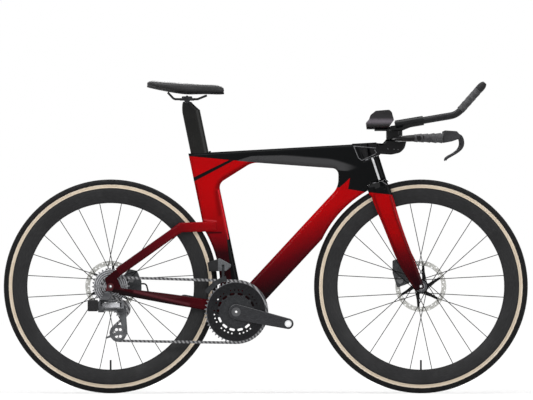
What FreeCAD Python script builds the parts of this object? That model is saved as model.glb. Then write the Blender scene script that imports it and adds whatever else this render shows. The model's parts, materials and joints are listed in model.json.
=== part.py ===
"""Time trial bicycle: an assembly of separate pieces in one frame.

+X points forward, +Y to the rider's left, +Z up. The origin lies on the ground, midway
between the axles, on the centre plane. The drive side is at -Y. Lengths are in millimetres.
"""
import FreeCAD, Part
import Sketcher
import math
import os
import re
from FreeCAD import Placement, Rotation, Vector

# Driving sizes: lengths in millimetres, and angles, whose names end in angle, in degrees.
SIZES = {
    # Layout
    "wheelbase": 975.0,
    "tyre_radius": 336.0,
    "tyre_width": 25.0,
    "chainstay_length": 402.5,
    "bracket_drop": 80.0,
    "head_angle": 72.5,
    "fork_offset": 45.0,
    "fork_length": 352.5,
    "head_tube_length": 80.0,
    "seat_angle": 78.3,
    "overrun": 5.0,
    "slide_gap": 0.3,
    "running_gap": 0.05,
    "seat_gap": 0.1,
    # Main frame
    "seat_tube_length": 517.5,
    "seat_tube_rear": 46.5,
    "seat_tube_front": 28.3,
    "seat_tube_meet_angle": 31.55,
    "top_tube_rise_angle": 3.2,
    "top_tube_depth_seat": 39.0,
    "top_tube_depth_head": 74.0,
    "gusset_reach": 126.0,
    "gusset_angle": 32.2,
    "down_tube_meet_angle": 154.41,
    "down_tube_rise": 30.5,
    "down_tube_depth": 73.5,
    "wheel_gap": 8.0,
    "head_nose": 42.5,
    "window_setback": 110.5,
    "frame_half_width_seat": 18.0,
    "frame_half_width_head": 24.0,
    "frame_edge_radius": 13.0,
    "window_corner_radius": 20.0,
    "window_foot_radius": 14.0,
    "window_bend_radius": 60.0,
    "gusset_corner_radius": 26.0,
    "bracket_shell_radius": 25.0,
    "bracket_shell_width": 85.5,
    "belly_angle": 165.0,
    "bracket_bore_radius": 20.5,
    "bracket_angle": 13.0,
    "crown_rear": 31.0,
    "bearing_radius": 19.0,
    "bearing_height": 8.0,
    "steerer_radius": 12.7,
    "steerer_gap": 1.3,
    "cone_base_radius": 17.5,
    "cone_top_radius": 27.5,
    "cone_height": 50.0,
    # Seatpost and its socket
    "post_depth": 56.0,
    "post_width": 25.0,
    "post_setback": 10.85,
    "post_bottom": 395.0,
    "post_shoulder": 645.0,
    "post_drop": 55.0,
    "wedge_height": 40.0,
    "wedge_depth": 7.0,
    "wedge_width": 12.0,
    "wedge_top_inset": 6.0,
    # Chainstays, seatstays and dropouts
    "axle_spacing_rear": 142.0,
    "dropout_thickness": 7.0,
    "dropout_radius": 15.0,
    "dropout_corner_radius": 5.0,
    "chainstay_depth_rear": 22.0,
    "chainstay_depth_front": 34.0,
    "chainstay_width_rear": 9.0,
    "chainstay_width_front": 15.0,
    "chainstay_spread_front": 25.0,
    "chainstay_fall_rear": 11.0,
    "chainstay_rise_front": 8.0,
    "seatstay_depth": 27.5,
    "seatstay_bridge_depth": 31.0,
    "seatstay_width_rear": 9.0,
    "seatstay_width_front": 13.0,
    "seatstay_spread_front": 27.5,
    "seatstay_spread_end": 15.0,
    "seatstay_foot_back": 2.0,
    "seatstay_foot_rise": 30.0,
    "seatstay_kink_back": 174.0,
    "seatstay_kink_rise": 265.0,
    "seatstay_end_back": 62.0,
    "seatstay_end_rise": 268.5,
    # Derailleur hanger
    "hanger_thickness": 6.0,
    "hanger_radius": 11.0,
    "hanger_back": 10.5,
    "hanger_drop": 29.0,
    "hanger_bolt_radius": 5.0,
    # Fork
    "axle_spacing_front": 100.0,
    "blade_depth_crown": 62.5,
    "blade_depth_tip": 29.0,
    "blade_front_crown": 45.0,
    "blade_front_tip": 53.5,
    "blade_width_crown": 14.0,
    "blade_width_tip": 11.0,
    "blade_spread_crown": 28.5,
    "blade_top": 331.0,
    "blade_foot": 8.0,
    "crown_lip": 1.0,
    "crown_height": 34.0,
    "tyre_slot_half_width": 20.5,
    "fork_tip_radius": 13.0,
    "fork_tip_height": 16.0,
    "steerer_top": 470.0,
    # Wheels
    "rim_depth": 51.0,
    "rim_outer_radius": 312.5,
    "rim_width": 27.0,
    "rim_nose_radius": 7.0,
    "rim_wall": 3.0,
    "rim_well_depth": 8.0,
    "tyre_seat_depth": 4.0,
    "spoke_width": 2.4,
    "spoke_thickness": 1.1,
    "spoke_lacing_gap": 2.6,
    "flange_radius": 19.0,
    "flange_thickness": 5.5,
    "hub_waist_radius": 13.5,
    "hub_bearing_radius": 11.5,
    "hub_bearing_width": 7.0,
    "hub_bore_radius": 8.0,
    "axle_radius": 6.0,
    "axle_bore_radius": 3.5,
    "axle_head_radius": 9.0,
    "axle_head_height": 3.0,
    "end_cap_radius": 9.5,
    "end_cap_length": 5.0,
    "front_flange_left": 22.0,
    "front_flange_right": 34.0,
    "rear_flange_left": 34.0,
    "rear_flange_right": 18.0,
    "valve_radius": 3.0,
    "valve_length": 30.0,
    # Brake rotors and calipers
    "rotor_radius": 80.0,
    "rotor_track": 15.0,
    "rotor_thickness": 1.8,
    "rotor_arm_width": 11.0,
    "rotor_hub_radius": 21.0,
    "rotor_slot_radius": 2.4,
    "rotor_arm_sweep_angle": 24.0,
    "rotor_inset_front": 10.5,
    "rotor_inset_rear": 15.5,
    "lockring_radius": 17.0,
    "lockring_height": 3.0,
    "caliper_length": 52.0,
    "caliper_half_width": 13.5,
    "caliper_edge_radius": 5.0,
    "caliper_slot_gap": 1.6,
    "caliper_piston_radius": 11.0,
    "caliper_piston_height": 2.5,
    "pad_length": 25.0,
    "pad_height": 16.0,
    "pad_thickness": 3.0,
    "pad_gap": 0.45,
    "hose_radius": 2.5,
    # Cranks
    "crank_length": 167.5,
    "crank_angle": 12.75,
    "crank_boss_radius": 25.0,
    "crank_tip_radius": 17.0,
    "crank_thickness": 13.0,
    "crank_outer_face": 72.0,
    "crank_edge_radius": 4.0,
    "spindle_radius": 14.5,
    "spindle_bore_radius": 4.0,
    "spindle_recess": 1.5,
    "pedal_thread_radius": 7.14,
    # Drivetrain
    "chain_pitch": 12.7,
    "chain_line": 48.5,
    "ring_spacing": 6.6,
    "ring_thickness": 2.0,
    "spider_radius": 47.0,
    "spider_thickness": 7.5,
    "ring_bore_radius": 37.0,
    "ring_bolt_circle": 42.0,
    "ring_bolt_radius": 2.6,
    "ring_bolt_head": 4.2,
    "ring_slot_circle": 57.0,
    "ring_slot_radius": 3.6,
    "ring_slot_length": 10.0,
    "ring_hole_circle": 69.0,
    "ring_hole_radius": 2.4,
    "cog_pitch": 3.6,
    "cog_thickness": 1.6,
    "cog_hole_radius": 3.5,
    "freehub_radius": 15.5,
    "roller_radius": 3.85,
    "seat_radius": 4.05,
    "tooth_height": 2.6,
    "tooth_tip": 1.7,
    "roller_half_width": 1.1,
    "plate_thickness": 0.7,
    "plate_gap": 0.06,
    "plate_half_height": 4.1,
    "pin_radius": 1.8,
    # Rear derailleur
    "guide_ahead": 35.0,
    "guide_drop": 71.0,
    "cage_length": 76.0,
    "cage_rest_angle": 103.5,
    "cage_swing_angle": 25.0,
    "cage_plate": 2.0,
    "cage_half_width": 4.2,
    "cage_end_radius": 13.0,
    "cage_loop_radius": 26.0,
    "cage_loop_width": 7.5,
    "cage_band_radius": 6.5,
    "cage_tail_length": 41.0,
    "cage_tail_angle": 202.0,
    "cage_tail_radius": 2.5,
    "cage_pivot_radius": 6.0,
    "pulley_hole_radius": 4.4,
    "pulley_thickness": 1.8,
    "pulley_bolt_radius": 2.5,
    "knuckle_radius": 16.0,
    "knuckle_thickness": 15.0,
    "knuckle_gap": 0.4,
    "link_length": 52.0,
    "link_height": 17.0,
    "link_half_thickness": 4.2,
    "link_spacing": 13.0,
    "link_pin_radius": 2.2,
    "link_slant_angle": 30.0,
    "link_back": 24.5,
    "link_drop": 64.0,
    "link_side": 76.0,
    "lug_thickness": 4.0,
    "lug_back": 14.0,
    "lug_front": 6.0,
    "lug_wall": 7.0,
    "body_radius": 13.0,
    "body_thickness": 14.0,
    "battery_length": 33.0,
    "battery_width": 22.0,
    "battery_height": 36.0,
    "battery_back": 55.0,
    "battery_drop": 60.0,
    "battery_edge_radius": 4.0,
    # Front derailleur
    "box_back": 59.0,
    "box_front": 15.0,
    "box_bottom": 128.0,
    "box_height": 40.0,
    "box_inner": 17.0,
    "box_outer": 46.0,
    "box_edge_radius": 4.0,
    "swing_pivot_side": 39.0,
    "swing_pivot_rise": 138.0,
    "swing_pivot_radius": 2.5,
    "swing_arm_back": 41.0,
    "swing_arm_thickness": 8.0,
    "swing_arm_half_width": 5.0,
    "guide_plate_gap": 3.6,
    "guide_plate_thickness": 1.4,
    "guide_plate_inner": 102.0,
    "guide_plate_outer": 118.0,
    "guide_start_angle": 106.0,
    "guide_end_angle": 147.0,
    "guide_bridge_radius": 3.0,
    "guide_roof": 5.0,
    # Saddle
    "saddle_setback": 125.5,
    "saddle_length": 242.0,
    "saddle_width": 138.0,
    "saddle_rise": 15.0,
    "saddle_depth": 43.5,
    "saddle_shell_thickness": 6.0,
    "rail_radius": 3.5,
    "rail_half_spread": 22.0,
    "rail_rise": 38.6,
    "rail_bend_radius": 14.0,
    "clamp_length": 44.0,
    "clamp_height": 9.0,
    "clamp_half_width": 29.0,
    "clamp_bolt_radius": 3.0,
    "post_head_radius": 13.0,
    # Cockpit: places ahead of and above the middle of the head tube's top, then sizes
    "stem_half_width": 21.0,
    "stem_bottom": 16.0,
    "stem_front": 127.5,
    "stem_top": 64.0,
    "stem_back": 36.0,
    "stem_edge_radius": 8.0,
    "cap_rise": 2.0,
    "wing_chord": 44.0,
    "wing_thickness": 16.0,
    "wing_height": 62.0,
    "bar_half_width": 200.0,
    "horn_radius": 10.5,
    "horn_height": 67.0,
    "horn_end": 241.5,
    "tape_back_radius": 12.0,
    "tape_front_radius": 17.0,
    "tape_back": 151.5,
    "riser_back": 63.5,
    "riser_length": 51.5,
    "riser_half_width": 19.0,
    "riser_top": 103.0,
    "riser_edge_radius": 8.0,
    "extension_radius": 11.1,
    "extension_spread": 46.0,
    "extension_back": 91.5,
    "extension_height": 107.5,
    "extension_rise_angle": 9.6,
    "extension_run": 196.0,
    "grip_rise_angle": 48.5,
    "grip_length": 104.0,
    "grip_bend_radius": 55.0,
    "grip_tape_thickness": 1.8,
    "clamp_wall": 4.0,
    "sleeve_length": 88.0,
    "cup_length": 88.0,
    "cup_spread": 92.0,
    "cup_half_width": 47.0,
    "cup_depth": 46.0,
    "cup_back": 0.5,
    "cup_bottom": 94.0,
    "cup_wall": 3.5,
    "cup_pad_thickness": 12.0,
    "bracket_plate": 5.0,
    "bracket_width": 34.0,
    # Brake levers and shifters
    "lever_body_length": 50.0,
    "lever_body_height": 34.0,
    "lever_body_width": 24.0,
    "lever_reach": 62.0,
    "lever_width": 13.0,
    "lever_thickness": 9.0,
    "lever_pivot_radius": 3.0,
    "lever_gap": 0.5,
    "shifter_length": 28.0,
    "shifter_radius": 12.5,
    "button_radius": 7.0,
    "button_height": 4.0,
}

# Counts
BIG_RING_TEETH = 48
SMALL_RING_TEETH = 35
COG_TEETH = (10, 11, 12, 13, 14, 15, 16, 17, 19, 21, 24, 28)
DRIVEN_COG = 4
PULLEY_TEETH = 12
SPOKES = 24
ROTOR_ARMS = 6
ROTOR_SLOTS = 36
SPIDER_ARMS = 8
RING_SLOTS = 14
RING_HOLE_GROUPS = 5
SECTION_POINTS = 16
SETTLING_STEPS = 60
# How square the oval sections are: 2 is an ellipse
ROUND_FULLNESS = 2.0
POD_FULLNESS = 2.2
POST_FULLNESS = 2.4
BLADE_FULLNESS = 2.6
STAY_FULLNESS = 2.8
CROWN_FULLNESS = 3.2

doc = FreeCAD.newDocument("time_trial_bicycle")
sheet = doc.addObject("Spreadsheet::Sheet", "sizes")
for row, (alias, value) in enumerate(SIZES.items(), start=1):
    sheet.set(f"A{row}", alias)
    sheet.set(f"B{row}", str(value))
    sheet.setAlias(f"B{row}", alias)
doc.recompute()
NODES = {}
UP = Vector(0, 0, 1)
LEFT = Vector(0, 1, 0)
AHEAD = Vector(1, 0, 0)
ORIGIN = Vector(0, 0, 0)


class SheetSizes:
    """Reads the sheet's cells by their alias."""

    def __getattr__(self, alias):
        return float(getattr(sheet, alias))


S = SheetSizes()


def formula(text):
    """The expression for text, with each size name turned into its cell."""
    return re.sub(r"[a-z_]+", lambda word: f"sizes.{word[0]}" if word[0] in SIZES else word[0], text)


# Building blocks
def bind(item, **formulas):
    """Binds properties of a document object to formulas of named sizes."""
    for name, text in formulas.items():
        item.setExpression(name.replace("__", "."), formula(text))
    return item


def feature(name, shape):
    item = doc.addObject("Part::Feature", name)
    item.Shape = shape
    return item


def group(label, items):
    """One node made of several separate solids."""
    item = doc.addObject("Part::Compound", label)
    item.Links = items
    return item


def keep(label, item):
    """Marks an object as the finished piece of that name."""
    item.Label = label
    NODES[label] = item
    return item


def keep_shape(label, shape):
    return keep(label, feature(label, shape))


def value_of(text):
    return float(sheet.evalExpression(formula(text)))


def add_edge(sketch, start, end, bulge):
    """A line, or an arc of the given signed radius, between two sketch points."""
    if not bulge:
        return sketch.addGeometry(Part.LineSegment(start, end))
    radius = abs(bulge)
    middle = (start + end) / 2
    chord = end - start
    side = Vector(-chord.y, chord.x, 0).normalize() * math.copysign(1, bulge)
    reach = math.sqrt(max(radius ** 2 - (chord.Length / 2) ** 2, 0))
    top = middle + side * (radius - reach)
    return sketch.addGeometry(Part.ArcOfCircle(start, top, end))


def pin_point(sketch, edge, place, axis, text):
    """Holds one coordinate of a sketch point at a formula."""
    kind = "DistanceX" if axis == 0 else "DistanceY"
    number = value_of(text)
    rank = sketch.addConstraint(Sketcher.Constraint(kind, -1, 1, edge, place, number))
    sketch.setExpression(f"Constraints[{rank}]", formula(text))


def outline(body, name, points):
    """A closed sketch through points given as pairs of formulas.

    A third entry bends the edge that follows into an arc of that signed radius.
    """
    sketch = body.newObject("Sketcher::SketchObject", name)
    plane = [part for part in body.Origin.OriginFeatures if part.Role == "XY_Plane"][0]
    sketch.AttachmentSupport = [(plane, "")]
    sketch.MapMode = "FlatFace"
    places = [Vector(value_of(point[0]), value_of(point[1]), 0) for point in points]
    edges = []
    for rank, point in enumerate(points):
        bulge = value_of(point[2]) if len(point) > 2 else 0
        edges.append(add_edge(sketch, places[rank], places[(rank + 1) % len(points)], bulge))
    ends = [start_and_end(sketch, edge, places[rank]) for rank, edge in enumerate(edges)]
    for rank, point in enumerate(points):
        before = rank - 1
        sketch.addConstraint(Sketcher.Constraint(
            "Coincident", edges[before], ends[before][1], edges[rank], ends[rank][0]))
        pin_point(sketch, edges[rank], ends[rank][0], 0, point[0])
        pin_point(sketch, edges[rank], ends[rank][0], 1, point[1])
        if len(point) > 2:
            rule = sketch.addConstraint(Sketcher.Constraint("Radius", edges[rank], abs(value_of(point[2]))))
            sketch.setExpression(f"Constraints[{rule}]", formula(f"abs({point[2]})"))
    return sketch


def start_and_end(sketch, edge, first):
    """The point numbers of an edge's start and end, as the outline runs."""
    curve = sketch.Geometry[edge]
    return (1, 2) if (curve.StartPoint - first).Length < (curve.EndPoint - first).Length else (2, 1)


def turned(name, points, centre, axis):
    """A body turned about an axis from (along, radius) points."""
    body = doc.addObject("PartDesign::Body", name)
    sketch = outline(body, f"{name}_profile", points)
    turn = body.newObject("PartDesign::Revolution", f"{name}_turn")
    turn.Profile = sketch
    turn.ReferenceAxis = (sketch, ["H_Axis"])
    turn.Angle = 360.0
    body.Placement = Placement(centre, Rotation(AHEAD, axis))
    return body


def padded(name, points, thickness, place):
    """A body padded by half its thickness to each side of its outline."""
    body = doc.addObject("PartDesign::Body", name)
    sketch = outline(body, f"{name}_outline", points)
    pad = body.newObject("PartDesign::Pad", f"{name}_pad")
    pad.Profile = sketch
    pad.Midplane = True
    bind(pad, Length=thickness)
    body.Placement = place
    return body


def cylinder(centre, axis, radius, length):
    """A plain cylinder centred on a point."""
    return Part.makeCylinder(radius, length, centre - axis * (length / 2), axis)


def oval(centre, along, across, half_depth, half_width, fullness):
    """A smooth closed section: an ellipse at fullness 2, squarer above that."""
    points = []
    for rank in range(SECTION_POINTS):
        turn = 2 * math.pi * rank / SECTION_POINTS
        cosine, sine = math.cos(turn), math.sin(turn)
        reach = math.copysign(abs(cosine) ** (2 / fullness), cosine)
        side = math.copysign(abs(sine) ** (2 / fullness), sine)
        points.append(centre + along * (half_depth * reach) + across * (half_width * side))
    curve = Part.BSplineCurve()
    curve.interpolate(points, PeriodicFlag=True)
    return Part.Wire(curve.toShape())


def loft(sections, ruled=False):
    return Part.makeLoft(sections, True, ruled)


def between(start, end, share):
    return start + (end - start) * share


def rounded_wire(points, radii):
    """A closed wire through corner points, each rounded to its radius."""
    corners = []
    for rank, corner in enumerate(points):
        back = (points[rank - 1] - corner).normalize()
        ahead = (points[(rank + 1) % len(points)] - corner).normalize()
        half = math.acos(max(-1, min(1, back.dot(ahead)))) / 2
        reach = radii[rank] / math.tan(half)
        heart = corner + (back + ahead).normalize() * (radii[rank] / math.sin(half))
        crest = heart + (corner - heart).normalize() * radii[rank]
        corners.append((corner + back * reach, crest, corner + ahead * reach))
    edges = []
    for rank, (start, crest, end) in enumerate(corners):
        edges.append(Part.Arc(start, crest, end).toShape())
        edges.append(Part.makeLine(end, corners[(rank + 1) % len(corners)][0]))
    return Part.Wire(edges)


def slab(wire, low, high):
    """A flat outline in the XZ plane, filled from one side to the other."""
    solid = Part.Face(wire).extrude(LEFT * (high - low))
    solid.translate(LEFT * low)
    return solid


def soften(solid, radius):
    """Rounds the rims of a slab's two flat sides."""
    rims = []
    for face in solid.Faces:
        if abs(face.normalAt(0, 0).y) > math.cos(math.radians(1)):
            rims += face.Edges
    return solid.makeFillet(radius, rims)


def moulded(points, corner, low, high, edge):
    """A rounded housing: a side outline with round corners and rims."""
    return soften(slab(rounded_wire(points, [corner] * len(points)), low, high), edge)


def bent_tube(points, bends, radius):
    """A round tube along straight runs joined by tangent arcs."""
    edges = []
    last = points[0]
    for rank in range(1, len(points) - 1):
        corner = points[rank]
        back = (points[rank - 1] - corner).normalize()
        ahead = (points[rank + 1] - corner).normalize()
        half = math.acos(max(-1, min(1, back.dot(ahead)))) / 2
        reach = bends[rank - 1] / math.tan(half)
        heart = corner + (back + ahead).normalize() * (bends[rank - 1] / math.sin(half))
        crest = heart + (corner - heart).normalize() * bends[rank - 1]
        edges.append(Part.LineSegment(last, corner + back * reach).toShape())
        edges.append(Part.Arc(corner + back * reach, crest, corner + ahead * reach).toShape())
        last = corner + ahead * reach
    edges.append(Part.LineSegment(last, points[-1]).toShape())
    path = Part.Wire(edges)
    start = (points[1] - points[0]).normalize()
    ring = Part.Wire(Part.Circle(points[0], start, radius).toShape())
    return path.makePipeShell([ring], True, False)


def brick(centre, axes, lengths):
    """A box centred on a point, its sides along three square axes."""
    first, second, third = [axis * length for axis, length in zip(axes, lengths)]
    corner = centre - (first + second + third) / 2
    path = [corner, corner + first, corner + first + second, corner + second, corner]
    return Part.Face(Part.makePolygon(path)).extrude(third)


def mirrored(shape):
    """The same shape on the other side of the centre plane."""
    return shape.mirror(ORIGIN, LEFT)


def pair(shape):
    return Part.makeCompound([shape, mirrored(shape)])


# Layout: the points and directions that the pieces share
def polar(angle):
    """The unit vector at an angle above +X, in the centre plane."""
    return Vector(math.cos(math.radians(angle)), 0, math.sin(math.radians(angle)))


REAR_AXLE = Vector(-S.wheelbase / 2, 0, S.tyre_radius)
FRONT_AXLE = Vector(S.wheelbase / 2, 0, S.tyre_radius)
BRACKET = REAR_AXLE + Vector(math.sqrt(S.chainstay_length ** 2 - S.bracket_drop ** 2), 0, -S.bracket_drop)
STEER_UP = polar(180 - S.head_angle)
STEER_AHEAD = polar(90 - S.head_angle)
STEER_FOOT = FRONT_AXLE - STEER_AHEAD * S.fork_offset
SEAT_UP = polar(180 - S.seat_angle)
SEAT_AHEAD = polar(90 - S.seat_angle)
TOP_TUBE = polar(S.top_tube_rise_angle)
HEAD_TOP = S.fork_length + S.head_tube_length
CRANK = polar(-S.crank_angle)


def on_steerer(height, ahead, side=0):
    """A point by its height along the steering axis and its distance ahead of it."""
    return STEER_FOOT + STEER_UP * height + STEER_AHEAD * ahead + LEFT * side


def on_seat(height, ahead, side=0):
    """A point by its height up the seat tube from the bottom bracket."""
    return BRACKET + SEAT_UP * height + SEAT_AHEAD * ahead + LEFT * side


def crossing(first, heading, second, other):
    """Where two lines of the centre plane meet."""
    scale = heading.x * other.z - heading.z * other.x
    gap = second - first
    return first + heading * ((gap.x * other.z - gap.z * other.x) / scale)


def arc_about(centre, start, end):
    radius = (start - centre).Length
    crest = ((start - centre).normalize() + (end - centre).normalize()).normalize()
    return Part.Arc(start, centre + crest * radius, end).toShape()


# Main frame
WHEEL_CUT = S.tyre_radius + S.wheel_gap
TOP_REAR = on_seat(S.seat_tube_length, -S.seat_tube_rear)
CROWN = on_steerer(S.fork_length, 0)
HEAD = on_steerer(HEAD_TOP, 0)
BELLY = S.down_tube_depth - S.down_tube_rise
# The down tube's lower edge runs from the curve under the bottom bracket to the front wheel's clearance
DOWN_TUBE_FOOT = FRONT_AXLE + polar(S.down_tube_meet_angle) * WHEEL_CUT
DOWN_TUBE_SPAN = DOWN_TUBE_FOOT - BRACKET
DOWN_TUBE_LEAN = math.atan2(DOWN_TUBE_SPAN.z, DOWN_TUBE_SPAN.x) + math.asin(BELLY / DOWN_TUBE_SPAN.Length)
DOWN_TUBE = polar(math.degrees(DOWN_TUBE_LEAN))
DOWN_TUBE_UP = polar(math.degrees(DOWN_TUBE_LEAN) + 90)


def frame_outline():
    """The outer side outline, from the seat tube's top corner round by the bottom bracket."""
    rear_low = REAR_AXLE + polar(S.seat_tube_meet_angle) * WHEEL_CUT
    bracket_rear = REAR_AXLE + polar(-S.bracket_angle) * WHEEL_CUT
    belly_rear = BRACKET + polar(-S.belly_angle) * BELLY
    belly_front = BRACKET - DOWN_TUBE_UP * BELLY
    crown_low = on_steerer(math.sqrt(WHEEL_CUT ** 2 - S.fork_offset ** 2), 0)
    corners = [CROWN, on_steerer(S.fork_length, S.head_nose), on_steerer(HEAD_TOP, S.head_nose),
               on_steerer(HEAD_TOP, 0), crossing(CROWN, STEER_UP, TOP_REAR, TOP_TUBE), TOP_REAR]
    edges = [
        Part.makeLine(TOP_REAR, rear_low),
        arc_about(REAR_AXLE, rear_low, bracket_rear),
        Part.makeLine(bracket_rear, belly_rear),
        arc_about(BRACKET, belly_rear, belly_front),
        Part.makeLine(belly_front, DOWN_TUBE_FOOT),
        arc_about(FRONT_AXLE, DOWN_TUBE_FOOT, crown_low),
        Part.makeLine(crown_low, CROWN),
    ]
    for start, end in zip(corners, corners[1:]):
        edges.append(Part.makeLine(start, end))
    return Part.Wire(edges)


def frame_window():
    """The open triangle between the three main tubes."""
    seat_front = on_seat(0, S.seat_tube_front)
    down_top = BRACKET + DOWN_TUBE_UP * S.down_tube_rise
    window_front = CROWN - AHEAD * S.window_setback
    roof_front = crossing(window_front, UP, TOP_REAR, TOP_TUBE) - UP * S.top_tube_depth_head
    roof_rear = crossing(seat_front, SEAT_UP, TOP_REAR, TOP_TUBE) + TOP_TUBE * S.gusset_reach
    roof_rear = roof_rear - UP * S.top_tube_depth_seat
    corners = [
        crossing(seat_front, SEAT_UP, down_top, DOWN_TUBE),
        crossing(window_front, UP, down_top, DOWN_TUBE),
        roof_front,
        roof_rear,
        crossing(roof_rear, polar(180 + S.gusset_angle), seat_front, SEAT_UP),
    ]
    radii = [S.window_foot_radius, S.window_bend_radius, S.window_corner_radius,
             S.window_bend_radius, S.gusset_corner_radius]
    return rounded_wire(corners, radii)


def frame_blank():
    """The outline filled to the frame's width, which grows from the seat to the head."""
    face = Part.Face([frame_outline(), frame_window()], "Part::FaceMakerBullseye")
    widest = S.wheelbase
    blank = face.extrude(LEFT * widest)
    blank.translate(LEFT * (-widest / 2))
    nose = on_steerer(S.fork_length, S.head_nose)
    growth = (S.frame_half_width_head - S.frame_half_width_seat) / (nose.x - TOP_REAR.x)
    rear = TOP_REAR.x - S.chainstay_length
    front = nose.x + S.chainstay_length
    half_rear = S.frame_half_width_seat - growth * S.chainstay_length
    half_front = S.frame_half_width_head + growth * S.chainstay_length
    plan = [Vector(rear, -half_rear, 0), Vector(front, -half_front, 0),
            Vector(front, half_front, 0), Vector(rear, half_rear, 0)]
    wedge = Part.Face(Part.makePolygon(plan + plan[:1])).extrude(UP * S.wheelbase)
    return soften(blank.common(wedge).Solids[0], S.frame_edge_radius)


def post_section(height, gap):
    """The seatpost's section at a height up the seat tube, grown by a gap."""
    centre = on_seat(height, -S.post_setback)
    return oval(centre, SEAT_AHEAD, LEFT, S.post_depth / 2 + gap, S.post_width / 2 + gap, POST_FULLNESS)


def wedge_block(gap):
    """The wedge that holds the seatpost, ahead of it in the seat tube's mouth."""
    top = S.seat_tube_length - S.wedge_top_inset
    back = S.post_depth / 2 - S.post_setback + S.slide_gap + S.seat_gap - gap
    depth = S.wedge_depth + 2 * gap
    width = S.wedge_width + 2 * gap
    block = Part.makeBox(depth, width, S.wedge_height + 2 * gap, Vector(0, -width / 2, 0))
    block.Placement = Placement(on_seat(top - S.wedge_height - gap, back), Rotation(UP, SEAT_UP))
    return block


def frame_cuts():
    """Bores, seats and recesses of the main frame."""
    overrun = S.overrun
    cone = Part.makeCone(S.cone_base_radius + S.slide_gap, S.cone_top_radius + S.slide_gap, S.cone_height,
                         on_steerer(HEAD_TOP, 0), STEER_UP)
    mouth = Part.makeCylinder(S.cone_top_radius + S.slide_gap, S.cone_height,
                              on_steerer(HEAD_TOP + S.cone_height, 0), STEER_UP)
    crown_radius = S.crown_rear + 2 * S.slide_gap
    recess = Part.makeCylinder(crown_radius, S.head_tube_length, on_steerer(S.fork_length, 0), STEER_UP * -1)
    steerer = Part.makeCylinder(S.steerer_radius + S.steerer_gap, S.head_tube_length + 2 * overrun,
                                on_steerer(S.fork_length - overrun, 0), STEER_UP)
    lower = Part.makeCylinder(S.bearing_radius, S.bearing_height + overrun,
                              on_steerer(S.fork_length - overrun, 0), STEER_UP)
    upper = Part.makeCylinder(S.bearing_radius, S.bearing_height + overrun,
                              on_steerer(HEAD_TOP - S.bearing_height, 0), STEER_UP)
    bracket = cylinder(BRACKET, LEFT, S.bracket_bore_radius, S.bracket_shell_width + 2 * overrun)
    floor = S.post_bottom - S.post_drop - overrun
    ceiling = S.seat_tube_length + S.post_depth
    socket = loft([post_section(floor, S.slide_gap), post_section(ceiling, S.slide_gap)])
    return [cone, mouth, recess, steerer, lower, upper, bracket, socket, wedge_block(0)]


def main_frame():
    shell = cylinder(BRACKET, LEFT, S.bracket_shell_radius, S.bracket_shell_width)
    return frame_blank().fuse(shell).cut(frame_cuts()).removeSplitter()


frame_shape = main_frame()
keep_shape("main_frame", frame_shape)


# Chainstays with the dropouts, and seatstays
DROPOUT_INNER = S.axle_spacing_rear / 2
DROPOUT_MIDDLE = DROPOUT_INNER + S.dropout_thickness / 2
# Shares of the way from the rear axle to the bottom bracket, and of the change over that way
CHAINSTAY_WAY_SHARES = (0.07, 0.26, 0.60, 0.78, 0.93)
CHAINSTAY_SPREAD_SHARES = (0.0, 0.10, 0.79, 0.95, 1.06)
CHAINSTAY_DEPTH_SHARES = (0.0, 0.35, 0.95, 1.0, 1.0)
CHAINSTAY_WIDTH_SHARES = (0.0, 0.50, 1.0, 1.0, 1.0)
# Corners of the dropout plate, in shares of the dropout radius from the axle
DROPOUT_SHARES = ((-1.22, 1.65), (-0.45, -1.10), (2.2, -1.55), (2.2, -0.15), (1.35, 1.7),
                  (2.3, 2.35), (1.2, 3.6))


def chainstay():
    """The left chainstay: a loft from the dropout to the bottom bracket shell."""
    rear = REAR_AXLE - UP * S.chainstay_fall_rear
    front = BRACKET + UP * S.chainstay_rise_front
    sections = []
    tables = zip(CHAINSTAY_WAY_SHARES, CHAINSTAY_SPREAD_SHARES,
                 CHAINSTAY_DEPTH_SHARES, CHAINSTAY_WIDTH_SHARES)
    for way, spread, depth, width in tables:
        side = between(DROPOUT_MIDDLE, S.chainstay_spread_front, spread)
        half_depth = between(S.chainstay_depth_rear, S.chainstay_depth_front, depth) / 2
        half_width = between(S.chainstay_width_rear, S.chainstay_width_front, width) / 2
        centre = between(rear, front, way) + LEFT * side
        sections.append(oval(centre, UP, LEFT, half_depth, half_width, STAY_FULLNESS))
    return loft(sections)


def dropout():
    """The left dropout plate, with the hole for the axle."""
    corners = [REAR_AXLE + AHEAD * (ahead * S.dropout_radius) + UP * (rise * S.dropout_radius)
               for ahead, rise in DROPOUT_SHARES]
    wire = rounded_wire(corners, [S.dropout_corner_radius] * len(corners))
    return slab(wire, DROPOUT_INNER, DROPOUT_INNER + S.dropout_thickness)


# Up the seatstay's slope: the way, the spread's change and the width's change, as shares
SEATSTAY_SLOPE_SHARES = ((0.10, 0.0, 0.0), (0.35, 0.22, 0.5), (0.92, 0.96, 1.0))
# Along its level run from the kink: the way and the spread's change, as shares
SEATSTAY_LEVEL_SHARES = ((0.0, 0.0), (0.55, 0.18), (1.0, 1.0))


def stay_section(place, heading, spread, depth, width):
    across = Vector(-heading.z, 0, heading.x)
    return oval(place + LEFT * spread, across, LEFT, depth / 2, width / 2, STAY_FULLNESS)


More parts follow.
